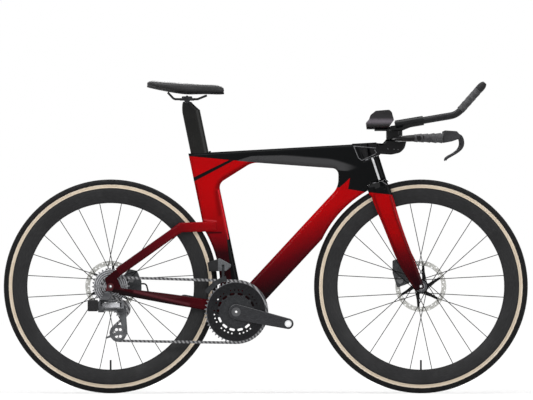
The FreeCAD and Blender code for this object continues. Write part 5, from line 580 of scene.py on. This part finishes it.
def carbon(name, colour, rough, heading, highlights):
    """Moulded carbon: fibre drawn out along a heading under a clear coat, with pale painted highlight lines along
    any edges given.
    """
    f = Finish(name, Coat_Weight=0.12, Coat_Roughness=0.05, Specular_IOR_Level=0.10)
    fibre = f.noise(1.4 * MM, detail=4.0, stretch=heading)
    cloud = f.noise(45 * MM, detail=2.0)
    woven = f.math("MULTIPLY", f.spread(fibre, 0.35, 0.75), f.even(cloud, 0.25, 0.8))
    base = f.mix(woven, colour, lightened(colour, 1.7, 6))
    # Painted highlight lines along the edges given, in grey
    f.colour(f.mix(f.bands(highlights, HIGHLIGHT_HALF), base, HIGHLIGHT_GREY) if highlights else base)
    f.rough(f.even(cloud, rough, rough + 0.09))
    return f.bump(fibre, strength=0.06, depth=0.12 * MM).material


def crank_finish(name, eye):
    """Gloss moulded carbon with a bare metal bush at the pedal eye."""
    f = Finish(name, Coat_Weight=0.25, Coat_Roughness=0.05, Specular_IOR_Level=0.2)
    fibre = f.noise(1.4 * MM, detail=4.0, stretch=(6, 1, 1))
    bush = f.spread(f.radius(eye), *BUSH_RADII, 1.0, 0.0)
    f.colour(f.mix(bush, f.mix(f.spread(fibre, 0.3, 0.75), *CRANK_BLACKS), BUSH_STEEL))
    f.feed(f.shader.inputs["Metallic"], bush)
    f.rough(f.spread(fibre, 0.3, 0.75, 0.22, 0.32))
    return f.bump(fibre, strength=0.05, depth=0.1 * MM).material


def rim_finish(name, centre):
    """Satin carbon rim: fibre laid round the hoop, darker at the nose and below the tan edge."""
    f = Finish(name, Specular_IOR_Level=0.12)
    radius = f.radius(centre)
    arc = f.math("MULTIPLY", f.turn(centre), RIM_ARC_RADIUS)
    join = f.node("ShaderNodeCombineXYZ")
    f.feed(join.inputs[0], radius)
    f.feed(join.inputs[1], f.math("MULTIPLY", arc, RIM_FIBRE_SHARE))
    fibre = f.noise(2.0 * MM, detail=4.0, place=join.outputs[0])
    cloud = f.noise(60 * MM, detail=2.0)
    base = f.mix(f.spread(fibre, 0.3, 0.75), *RIM_GREYS)
    base = f.mix(f.spread(cloud, 0.35, 0.7, 0.0, 0.45), base, RIM_CLOUD)
    dark = f.math("MAXIMUM", f.spread(radius, *RIM_EDGE_RADII), f.spread(radius, *RIM_NOSE_RADII, 1.0, 0.0))
    base = f.tinted(base, dark, RIM_DARK_SHARE, RIM_DARK)
    f.colour(f.mix(f.past(radius, TAN_START, TAN_START_EDGE), base, RIM_TAN))
    f.rough(f.even(cloud, 0.36, 0.46))
    return f.bump(fibre, strength=0.10, depth=0.10 * MM).material


def tyre_finish(name, centre):
    """Black file tread over tan cotton side walls."""
    f = Finish(name, Specular_IOR_Level=0.12)
    wander = f.spread(f.noise(8 * MM, detail=2.0), 0.2, 0.8, -TAN_WANDER, TAN_WANDER)
    level = f.math("ADD", f.radius(centre), wander)
    wall = f.all_of(f.past(level, TAN_START, TAN_START_EDGE), f.short_of(level, TAN_END, TAN_END_EDGE))
    arc = f.math("MULTIPLY", f.turn(centre), TYRE_ARC_RADIUS)
    cross = f.math("MULTIPLY_ADD", f.y, THREAD_SLANT, arc)
    other = f.math("MULTIPLY_ADD", f.y, -THREAD_SLANT, arc)
    threads = f.math("MAXIMUM", f.waves(cross, THREAD_PERIOD), f.waves(other, THREAD_PERIOD))
    tan = f.mix(f.spread(threads, 0.3, 1.0, 0.0, 0.5), *TANS)
    tan = f.mix(f.spread(f.noise(25 * MM), 0.35, 0.7, 0.0, 0.35), tan, PALE_TAN)
    tread = f.mix(f.spread(f.noise(14 * MM), 0.35, 0.7), *TREAD_BLACKS)
    f.colour(f.mix(wall, tread, tan)).rough(f.math("MULTIPLY_ADD", wall, 0.14, 0.62))
    file_lines = f.math("MULTIPLY", f.waves(cross, FILE_PERIOD), f.waves(other, FILE_PERIOD))
    f.bump(f.math("MULTIPLY", file_lines, f.math("SUBTRACT", 1.0, wall)), strength=0.35, depth=0.5 * MM)
    return f.bump(f.math("MULTIPLY", threads, wall), strength=0.25, depth=0.2 * MM).material


# Metal pieces
def metal(name, colour, rough, worn):
    """Machined or cast metal with fine grain and brighter worn edges."""
    f = Finish(name, Metallic=0.85)
    grain = f.noise(0.8 * MM, detail=4.0)
    darker = tuple(int(level * 0.7) for level in colour)
    base = f.mix(f.even(grain), colour, lightened(colour, 1.35, 14))
    base = f.mix(f.spread(f.noise(18 * MM), 0.35, 0.7, 0.0, 0.5), base, darker)
    f.colour(f.mix(f.worn_edges(worn), base, WORN_METAL)).rough(f.even(grain, rough, rough + 0.14))
    return f.bump(grain, strength=0.08, depth=0.08 * MM).material


def hub_finish(name, centre):
    """Metal turned on a lathe about an axle, with fine rings."""
    f = Finish(name, Metallic=0.9)
    rings = f.lathe_rings(centre, LATHE_PERIOD)
    base = f.mix(rings, HUB_GREY, lightened(HUB_GREY, 1.3, 12))
    f.colour(f.mix(f.worn_edges(0.3), base, WORN_HUB)).rough(f.spread(rings, 0.0, 1.0, 0.30, 0.42))
    return f.bump(rings, strength=0.06, depth=0.05 * MM).material


def rotor_finish(name, centre):
    """A bright ground braking ring on a black carrier."""
    f = Finish(name, Metallic=0.5, Specular_IOR_Level=0.3)
    lines = f.lathe_rings(centre, LATHE_PERIOD)
    carrier = f.mix(f.noise(9 * MM), *CARRIER_BLACKS)
    edge = f.past(f.radius(centre), CARRIER_END, CARRIER_EDGE)
    f.colour(f.mix(edge, carrier, f.mix(lines, *ROTOR_STEELS))).rough(f.spread(lines, 0.0, 1.0, 0.34, 0.46))
    return f.bump(lines, strength=0.06, depth=0.05 * MM).material


def chainring_finish():
    """Dark machined rings with bright bare teeth, on a paler spider."""
    f = Finish("chainring_metal", Metallic=0.85)
    radius = f.radius(BRACKET)
    rings = f.lathe_rings(BRACKET, RING_PERIOD)
    base = f.mix(f.past(radius, SPIDER_END), f.mix(rings, *SPIDER_GREYS), f.mix(rings, *RING_GREYS))
    f.colour(f.mix(f.spread(radius, *TOOTH_RADII), base, f.mix(rings, *TOOTH_GREYS)))
    f.rough(f.spread(rings, 0.0, 1.0, 0.28, 0.42))
    return f.bump(rings, strength=0.08, depth=0.06 * MM).material


def chain_finish():
    """Oiled steel: bright plates, with painted shade between the pins."""
    f = Finish("chain_steel", Metallic=0.6, Specular_IOR_Level=0.3)
    plates = f.waves(f.math("ADD", f.x, f.math("MULTIPLY", f.z, CHAIN_SLANT)), CHAIN_PERIOD)
    oil = f.noise(4 * MM)
    base = f.mix(f.spread(plates, 0.25, 0.75), *CHAIN_SHADE_AND_PLATE_GREYS)
    f.colour(f.mix(f.spread(oil, 0.4, 0.7, 0.0, 0.4), base, CHAIN_OIL)).rough(f.even(oil, 0.36, 0.50))
    return f.bump(oil, strength=0.08, depth=0.08 * MM).material


def cog_finish():
    """Steel cogs: each one bright at its teeth, with painted shade towards the next."""
    f = Finish("cassette_steel", Metallic=0.7, Specular_IOR_Level=0.3)
    steps = f.waves(f.radius(REAR_AXLE), COG_PERIOD)
    oil = f.noise(5 * MM)
    base = f.mix(f.spread(steps, 0.2, 0.8), *COG_SHADE_AND_TOOTH_GREYS)
    f.colour(f.mix(f.spread(oil, 0.4, 0.7, 0.0, 0.5), base, COG_OIL)).rough(f.even(oil, 0.34, 0.48))
    return f.bump(steps, strength=0.10, depth=0.10 * MM).material


# Moulded and covered pieces
def plastic(name, colour, rough, grain):
    """Moulded plastic or rubber with a fine spark texture."""
    f = Finish(name, Specular_IOR_Level=0.2)
    cloud = f.noise(25 * MM, detail=2.0)
    f.colour(f.mix(f.even(cloud, 0.0, 0.7), colour, lightened(colour, 1.4, 8)))
    f.rough(f.even(cloud, rough, rough + 0.12))
    return f.bump(f.noise(grain), strength=0.18, depth=0.12 * MM).material


def cup_finish():
    """Smooth moulded shell, with a painted highlight along the swell of its side."""
    f = Finish("cup_plastic", Specular_IOR_Level=0.3)
    cloud = f.noise(25 * MM, detail=2.0)
    height = f.math("ABSOLUTE", f.math("SUBTRACT", f.z, CUP_SWELL))
    # A painted highlight along the swell of the cup's side
    swell_highlight = f.spread(height, 0.0, CUP_HIGHLIGHT_HALF, CUP_HIGHLIGHT_SHARE, 0.0)
    f.colour(f.mix(swell_highlight, f.mix(f.even(cloud), *CUP_BLACKS), CUP_HIGHLIGHT)).rough(f.even(cloud, 0.24, 0.34))
    return f.bump(f.noise(0.7 * MM), strength=0.10, depth=0.10 * MM).material


def tape_finish():
    """Soft wrapped tape with fine pores."""
    f = Finish("wrapped_tape", Specular_IOR_Level=0.3)
    pores = f.noise(0.9 * MM, detail=2.0)
    cloud = f.noise(12 * MM)
    f.colour(f.mix(f.spread(pores, 0.62, 0.72), f.mix(f.even(cloud), *TAPE_GREYS), TAPE_PORE))
    f.rough(f.even(cloud, 0.58, 0.72))
    return f.bump(pores, strength=0.35, depth=0.25 * MM).material


def saddle_finish():
    """A smooth cover with a fine pebble grain, darker towards its foot."""
    f = Finish("saddle_cover", Specular_IOR_Level=0.3)
    cloud = f.noise(30 * MM, detail=2.0)
    f.colour(f.mix(f.below(SADDLE_MIDDLE, SADDLE_FADE), f.mix(f.even(cloud), *SADDLE_BLACKS), SADDLE_FOOT))
    f.rough(f.even(cloud, 0.38, 0.50))
    return f.bump(f.cells(1.3 * MM), strength=0.14, depth=0.15 * MM).material


def foam_cover():
    """A stretch fabric over foam, with a fine knit."""
    f = Finish("arm_pad_cover", Specular_IOR_Level=0.25, Sheen_Weight=0.25, Sheen_Roughness=0.5)
    knit = f.math("MULTIPLY", f.waves(f.x, KNIT_PERIOD), f.waves(f.y, KNIT_PERIOD))
    cloud = f.noise(20 * MM)
    f.colour(f.mix(knit, f.mix(f.even(cloud), *FOAM_GREYS), KNIT_GREY)).rough(f.even(cloud, 0.72, 0.86))
    return f.bump(knit, strength=0.4, depth=0.3 * MM).material


# Carbon by name: colour, least roughness, how far its fibre is drawn out along each axis, painted pale highlight
# lines along edges, pieces
CARBONS = {
    "seatpost_carbon": ((12, 12, 11), 0.30, (1, 1, 9), (), ("seatpost",)),
    "bar_carbon": (BAR_BLACK, 0.24, (4, 4, 1), STEM_HIGHLIGHTS + STEM_BOLT_GLINTS, ("base_bar",)),
    "riser_carbon": (GLOSS_BLACK, 0.20, (4, 4, 1), (), ("armrest_riser",)),
    "extension_carbon": ((22, 22, 24), 0.30, (9, 1, 1), (), ("extensions",)),
    "rail_carbon": ((16, 16, 17), 0.34, (9, 1, 1), (), ("saddle_rails",)),
}
# Metal by name: colour, least roughness, how far its edges are worn bright, pieces
METALS = {
    "spoke_steel": ((7, 7, 8), 0.55, 0.0, ("front_spokes", "rear_spokes")),
    "spindle_alloy": ((38, 39, 41), 0.38, 0.1, ("crank_spindle", "front_axle", "rear_axle")),
    "front_cage_alloy": ((34, 35, 37), 0.42, 0.0, ("front_derailleur_cage",)),
    "derailleur_alloy": ((60, 61, 63), 0.40, 0.1, ("rear_derailleur_body", "rear_derailleur_knuckle")),
    "link_alloy": ((104, 105, 108), 0.36, 0.2, ("rear_derailleur_outer_link", "rear_derailleur_inner_link")),
    "cage_alloy": ((68, 69, 71), 0.40, 0.0, ("rear_derailleur_cage", "front_derailleur_body")),
    "pulley_alloy": ((40, 41, 43), 0.40, 0.35, ("guide_pulley", "tension_pulley")),
    "caliper_alloy": ((48, 49, 51), 0.42, 0.3, ("front_brake_caliper", "rear_brake_caliper")),
    "bearing_steel": ((60, 61, 63), 0.30, 0.1, ("frame_bearings",)),
    "black_alloy": ((26, 26, 28), 0.40, 0.0, ("saddle_clamp", "seatpost_wedge")),
    "lever_alloy": ((30, 30, 32), 0.36, 0.35, ("brake_lever_right", "brake_lever_left")),
}
# Plastic and rubber by name: colour, least roughness, size of its grain, pieces
PLASTICS = {
    "black_plastic": ((17, 17, 18), 0.45, 0.7 * MM, ("shifter_bodies", "saddle_shell",
                                                     "derailleur_batteries")),
    "lever_body_plastic": ((36, 36, 38), 0.45, 0.7 * MM, ("brake_lever_bodies",)),
    "button_plastic": ((62, 62, 64), 0.40, 0.7 * MM, ("shift_button_right", "shift_button_left")),
    "hose_rubber": ((20, 20, 21), 0.50, 0.7 * MM, ("rear_brake_hose",)),
    "brake_compound": ((74, 70, 66), 0.75, 0.4 * MM, ("front_brake_pad_outer", "front_brake_pad_inner",
                                                      "rear_brake_pad_outer", "rear_brake_pad_inner")),
}
SMOOTH_ANGLE = math.radians(35)


# Finishes of the solid pieces
def dress(material, *nodes):
    for name in nodes:
        mesh = NODES[name].data
        mesh.materials.clear()
        mesh.materials.append(material)
        mesh.shade_smooth()
        mesh.set_sharp_from_angle(angle=SMOOTH_ANGLE)


def dress_wheel(end, axle):
    dress(rim_finish(f"{end}_rim_carbon", axle), f"{end}_rim")
    dress(tyre_finish(f"{end}_tyre_rubber", axle), f"{end}_tyre")
    dress(hub_finish(f"{end}_hub_alloy", axle), f"{end}_hub")
    dress(rotor_finish(f"{end}_rotor_steel", axle), f"{end}_rotor")


def dress_all():
    dress(frame_paint(), "main_frame")
    dress(seatstay_paint(), "seatstays")
    dress(chainstay_paint(), "chainstays")
    dress(fork_paint(), "fork", "fork_tips")
    dress(hanger_finish(), "derailleur_hanger")
    dress_wheel("front", FRONT_AXLE)
    dress_wheel("rear", REAR_AXLE)
    dress(cog_finish(), "cassette")
    dress(chainring_finish(), "chainrings")
    dress(chain_finish(), "chain")
    for side in ("right", "left"):
        dress(crank_finish(f"{side}_crank_carbon", mount_place(f"pedal_thread_{side}")), f"crank_arm_{side}")
    dress(cup_finish(), "arm_cups")
    for finish, table in ((carbon, CARBONS), (metal, METALS), (plastic, PLASTICS)):
        for name, (*settings, nodes) in table.items():
            dress(finish(name, *settings), *nodes)


# Padded pieces
SMOOTH_FACTOR = 0.5


def copy_of(node, name):
    piece = bpy.data.objects.new(name, NODES[node].data.copy())
    bpy.context.scene.collection.objects.link(piece)
    piece.data.materials.clear()
    return piece


def baked(piece):
    """Replaces a piece's mesh by what its modifiers make of it."""
    graph = bpy.context.evaluated_depsgraph_get()
    mesh = bpy.data.meshes.new_from_object(piece.evaluated_get(graph))
    piece.modifiers.clear()
    piece.data = mesh
    return piece


def evened(piece, voxel, rounds):
    """Rebuilds a piece as an even mesh with softened corners."""
    even = piece.modifiers.new("even", "REMESH")
    even.mode = "VOXEL"
    even.voxel_size = voxel
    soft = piece.modifiers.new("soft", "SMOOTH")
    soft.factor = SMOOTH_FACTOR
    soft.iterations = rounds
    return baked(piece)


def finished(piece, material, body):
    piece.data.materials.clear()
    piece.data.materials.append(material)
    piece.data.shade_smooth()
    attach(piece, body)
    return piece


# The saddle's channel and seam, with shares of the pad's length and height
SADDLE_VOXEL = 2.6 * MM
SADDLE_ROUNDS = 6
SADDLE_CHANNEL_DEPTH = 3.5 * MM
SADDLE_CHANNEL_HALF = 9 * MM
SADDLE_CHANNEL_START_SHARE = 0.06
SADDLE_CHANNEL_LENGTH_SHARE = 0.84
SADDLE_SEAM_DEPTH = 0.8 * MM
SADDLE_SEAM_HALF = 1.6 * MM
SADDLE_SEAM_SHARE = 0.42
SADDLE_SEAM_DROP_SHARE = 0.16
SADDLE_SEAM_LEVEL_SHARE = 0.3
FACES_UP = 0.2
FACES_ASIDE = 0.75
ARM_PAD_VOXEL = 2.0 * MM
ARM_PAD_ROUNDS = 5


def saddle_cover():
    """The saddle's padded cover, with a shallow channel along its middle and a seam round its side."""
    piece = evened(copy_of("saddle_pad", "saddle_cover"), SADDLE_VOXEL, SADDLE_ROUNDS)
    low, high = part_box("saddle_pad")
    height = high.z - low.z
    seam = low.z + SADDLE_SEAM_SHARE * height
    for vertex in piece.data.vertices:
        place, facing = vertex.co, vertex.normal
        way = (place.x - low.x) / (high.x - low.x)
        along = min(1.0, max(0.0, (way - SADDLE_CHANNEL_START_SHARE) / SADDLE_CHANNEL_LENGTH_SHARE))
        reach = max(0.0, math.sin(math.pi * along))
        if facing.z > FACES_UP:
            place.z -= SADDLE_CHANNEL_DEPTH * reach * math.exp(-(place.y / SADDLE_CHANNEL_HALF) ** 2)
        line = seam - SADDLE_SEAM_DROP_SHARE * height * (way - SADDLE_SEAM_LEVEL_SHARE)
        dent = SADDLE_SEAM_DEPTH * math.exp(-((place.z - line) / SADDLE_SEAM_HALF) ** 2)
        if abs(facing.z) < FACES_ASIDE:
            vertex.co = place - facing * dent
    finished(piece, saddle_finish(), "saddle_and_post")
    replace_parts(piece, "saddle_pad")
    return piece


def arm_pad_covers():
    """The covered foam in both arm cups."""
    piece = evened(copy_of("arm_pads", "arm_pad_covers"), ARM_PAD_VOXEL, ARM_PAD_ROUNDS)
    finished(piece, foam_cover(), "steering")
    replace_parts(piece, "arm_pads")
    return piece


# Wound tape
TAPE_PITCH = 20 * MM
TAPE_STEP = 2.6 * MM
TAPE_WALL_SHARE = 0.6
TAPE_EDGE_SHARE = 0.06
TAPE_LUMP_LENGTH = 41 * MM
TAPE_ROUND = 56
TAPE_ROW = 0.7 * MM


def tape_rows(start, end, back_radius, front_radius, lumps, bore):
    """Rings of a wound tape: the radius steps down where one turn overlaps the next."""
    heading = (end - start).normalized()
    length = (end - start).length
    side = heading.orthogonal().normalized()
    up = heading.cross(side)
    count = int(length / TAPE_ROW)
    for row in range(count + 1):
        way = length * row / count
        ring = []
        for step in range(TAPE_ROUND):
            angle = FULL_TURN * step / TAPE_ROUND
            turn = (way / TAPE_PITCH - angle / FULL_TURN) % 1.0
            edge = min(1.0, (1.0 - turn) / TAPE_EDGE_SHARE)
            radius = back_radius + (front_radius - back_radius) * way / length
            radius -= min(TAPE_STEP, TAPE_WALL_SHARE * (radius - bore)) * (1.0 - turn * edge)
            radius -= lumps * (0.5 + 0.5 * math.sin(way * FULL_TURN / TAPE_LUMP_LENGTH + angle * 2))
            ring.append(start + heading * way + (side * math.cos(angle) + up * math.sin(angle)) * radius)
        yield ring


def add_tube(mesh, rings, inner):
    """A closed sleeve: the rings outside, and a plain bore of that radius inside."""
    rings = list(rings)
    ends = []
    for ring in (rings[0], rings[-1]):
        centre = sum(ring, Vector()) / len(ring)
        ends.append([centre + (point - centre).normalized() * inner for point in ring])
    loops = [[mesh.verts.new(point) for point in ring] for ring in [ends[0], *rings, ends[1]]]
    loops.append(loops[0])
    for first, second in zip(loops, loops[1:]):
        for step in range(TAPE_ROUND):
            after = (step + 1) % TAPE_ROUND
            mesh.faces.new((first[step], first[after], second[after], second[step]))


def wound_tape():
    """The tape on both horns and on the raised ends of both extensions."""
    mesh = bmesh.new()
    for *sleeve, bore in tape_sleeves():
        add_tube(mesh, tape_rows(*sleeve, bore), bore)
    bmesh.ops.recalc_face_normals(mesh, faces=mesh.faces)
    piece = bpy.data.objects.new("wound_tape", bpy.data.meshes.new("wound_tape"))
    mesh.to_mesh(piece.data)
    mesh.free()
    bpy.context.scene.collection.objects.link(piece)
    finished(piece, tape_finish(), "steering")
    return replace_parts(piece, "bar_tape")


HORN_TAPE_BACK = 466 * MM
HORN_TAPE_FRONT = 556 * MM
HORN_HEIGHT = 802 * MM
HORN_SPREAD = 200 * MM
HORN_TAPE_RADII = (12.4 * MM, 16.8 * MM)
HORN_LUMPS = 0.5 * MM
HORN_BORE = 10.6 * MM
SHIFTER_REACH = 28.1 * MM
GRIP_LENGTH = 84.5 * MM
GRIP_RADIUS = 12.9 * MM
GRIP_BORE = 11.15 * MM


def tape_sleeves():
    """Start, end, radii, unevenness and bore of each taped stretch."""
    low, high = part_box("shift_button_left")
    button = (low + high) / 2
    run = joint_axis("shift_button_left_press")
    if run.x < 0:
        run = -run
    top = button - run * SHIFTER_REACH
    for side in (1, -1):
        yield (Vector((HORN_TAPE_BACK, side * HORN_SPREAD, HORN_HEIGHT)),
               Vector((HORN_TAPE_FRONT, side * HORN_SPREAD, HORN_HEIGHT)),
               *HORN_TAPE_RADII, HORN_LUMPS, HORN_BORE)
        grip_end = Vector((top.x, side * top.y, top.z))
        yield (grip_end - run * GRIP_LENGTH, grip_end, GRIP_RADIUS, GRIP_RADIUS, 0.0, GRIP_BORE)


# Floor, light and camera
VIEW_WIDTH = 1.675
VIEW_MIDDLE = Vector((0.0023, 0.0, 0.6073))
LENS = 1200
SENSOR = 36
CLIP_TIMES = 10
FLOOR_SIZE = 60.0
FLOOR_GREY = (0.66, 0.66, 0.66, 1)
AMBIENT = 0.36
FLOOR_GLOW = (0.24, 0.80)
FLOOR_GLOW_REACH = (1.0, 3.2)
LIGHT_AIM = (0, 0, 0.55)
# Soft lights by name: place, width, height and power
SOFT_LIGHTS = {
    "top_light": ((0, -0.5, 3.0), 3.4, 1.4, 72),
    "key_light": ((-1.8, -3.4, 2.6), 2.2, 1.4, 60),
    "fill_light": ((2.4, -3.2, 1.5), 2.2, 1.6, 34),
    "back_light": ((0.3, 3.4, 2.2), 2.8, 1.6, 46),
}


def seen_directly(tree):
    """1 for rays from the camera, and for those that a mirror or glass passes on."""
    path = tree.nodes.new("ShaderNodeLightPath")
    found = path.outputs["Is Camera Ray"]
    for name in ("Is Glossy Ray", "Is Transmission Ray"):
        either = tree.nodes.new("ShaderNodeMath")
        either.operation = "MAXIMUM"
        tree.links.new(found, either.inputs[0])
        tree.links.new(path.outputs[name], either.inputs[1])
        found = either.outputs[0]
    return found


def white_world():
    world = bpy.data.worlds.new("studio")
    world.use_nodes = True
    tree = world.node_tree
    tree.nodes.clear()
    light = tree.nodes.new("ShaderNodeBackground")
    strength = tree.nodes.new("ShaderNodeMapRange")
    strength.inputs["To Min"].default_value = AMBIENT
    strength.inputs["To Max"].default_value = 1.0
    tree.links.new(seen_directly(tree), strength.inputs["Value"])
    tree.links.new(strength.outputs[0], light.inputs["Strength"])
    light.inputs["Color"].default_value = (1, 1, 1, 1)
    output = tree.nodes.new("ShaderNodeOutputWorld")
    tree.links.new(light.outputs[0], output.inputs["Surface"])
    bpy.context.scene.world = world


def pale_floor():
    """A white floor that keeps the bicycle's shadow."""
    mesh = bmesh.new()
    bmesh.ops.create_grid(mesh, x_segments=1, y_segments=1, size=FLOOR_SIZE / 2)
    piece = bpy.data.objects.new("floor", bpy.data.meshes.new("floor"))
    mesh.to_mesh(piece.data)
    mesh.free()
    piece.location.z = CAD_BOX[0].z
    bpy.context.scene.collection.objects.link(piece)
    material = bpy.data.materials.new("floor_white")
    material.use_nodes = True
    tree = material.node_tree
    tree.nodes.clear()
    matt = tree.nodes.new("ShaderNodeBsdfDiffuse")
    matt.inputs["Color"].default_value = FLOOR_GREY
    glow = tree.nodes.new("ShaderNodeEmission")
    place = tree.nodes.new("ShaderNodeTexCoord")
    away = tree.nodes.new("ShaderNodeVectorMath")
    away.operation = "LENGTH"
    tree.links.new(place.outputs["Object"], away.inputs[0])
    reach = tree.nodes.new("ShaderNodeMapRange")
    reach.interpolation_type = "SMOOTHSTEP"
    for key, value in zip(("From Min", "From Max", "To Min", "To Max"), FLOOR_GLOW_REACH + FLOOR_GLOW):
        reach.inputs[key].default_value = value
    tree.links.new(away.outputs["Value"], reach.inputs["Value"])
    level = tree.nodes.new("ShaderNodeMath")
    level.operation = "MULTIPLY"
    tree.links.new(seen_directly(tree), level.inputs[0])
    tree.links.new(reach.outputs[0], level.inputs[1])
    tree.links.new(level.outputs[0], glow.inputs["Strength"])
    both = tree.nodes.new("ShaderNodeAddShader")
    tree.links.new(matt.outputs[0], both.inputs[0])
    tree.links.new(glow.outputs[0], both.inputs[1])
    output = tree.nodes.new("ShaderNodeOutputMaterial")
    tree.links.new(both.outputs[0], output.inputs["Surface"])
    piece.data.materials.append(material)


def soft_light(name, place, width, height, power):
    lamp = bpy.data.lights.new(name, "AREA")
    lamp.shape = "RECTANGLE"
    lamp.size = width
    lamp.size_y = height
    lamp.energy = power
    item = bpy.data.objects.new(name, lamp)
    item.location = place
    item.rotation_euler = (Vector(LIGHT_AIM) - Vector(place)).to_track_quat("-Z", "Y").to_euler()
    bpy.context.scene.collection.objects.link(item)


def studio_lights():
    for name, settings in SOFT_LIGHTS.items():
        soft_light(name, *settings)


def side_camera():
    """The photograph's view: square on to the drive side, from far off."""
    lens = bpy.data.cameras.new("camera")
    lens.lens = LENS
    lens.sensor_width = SENSOR
    distance = VIEW_WIDTH * LENS / SENSOR
    lens.clip_end = CLIP_TIMES * distance
    camera = bpy.data.objects.new("camera", lens)
    camera.location = VIEW_MIDDLE - Vector((0, distance, 0))
    camera.rotation_euler = (math.pi / 2, 0, 0)
    bpy.context.scene.collection.objects.link(camera)
    bpy.context.scene.camera = camera


dress_all()
saddle_cover()
arm_pad_covers()
wound_tape()
white_world()
pale_floor()
studio_lights()
side_camera()
bpy.context.scene.view_settings.view_transform = "Standard"
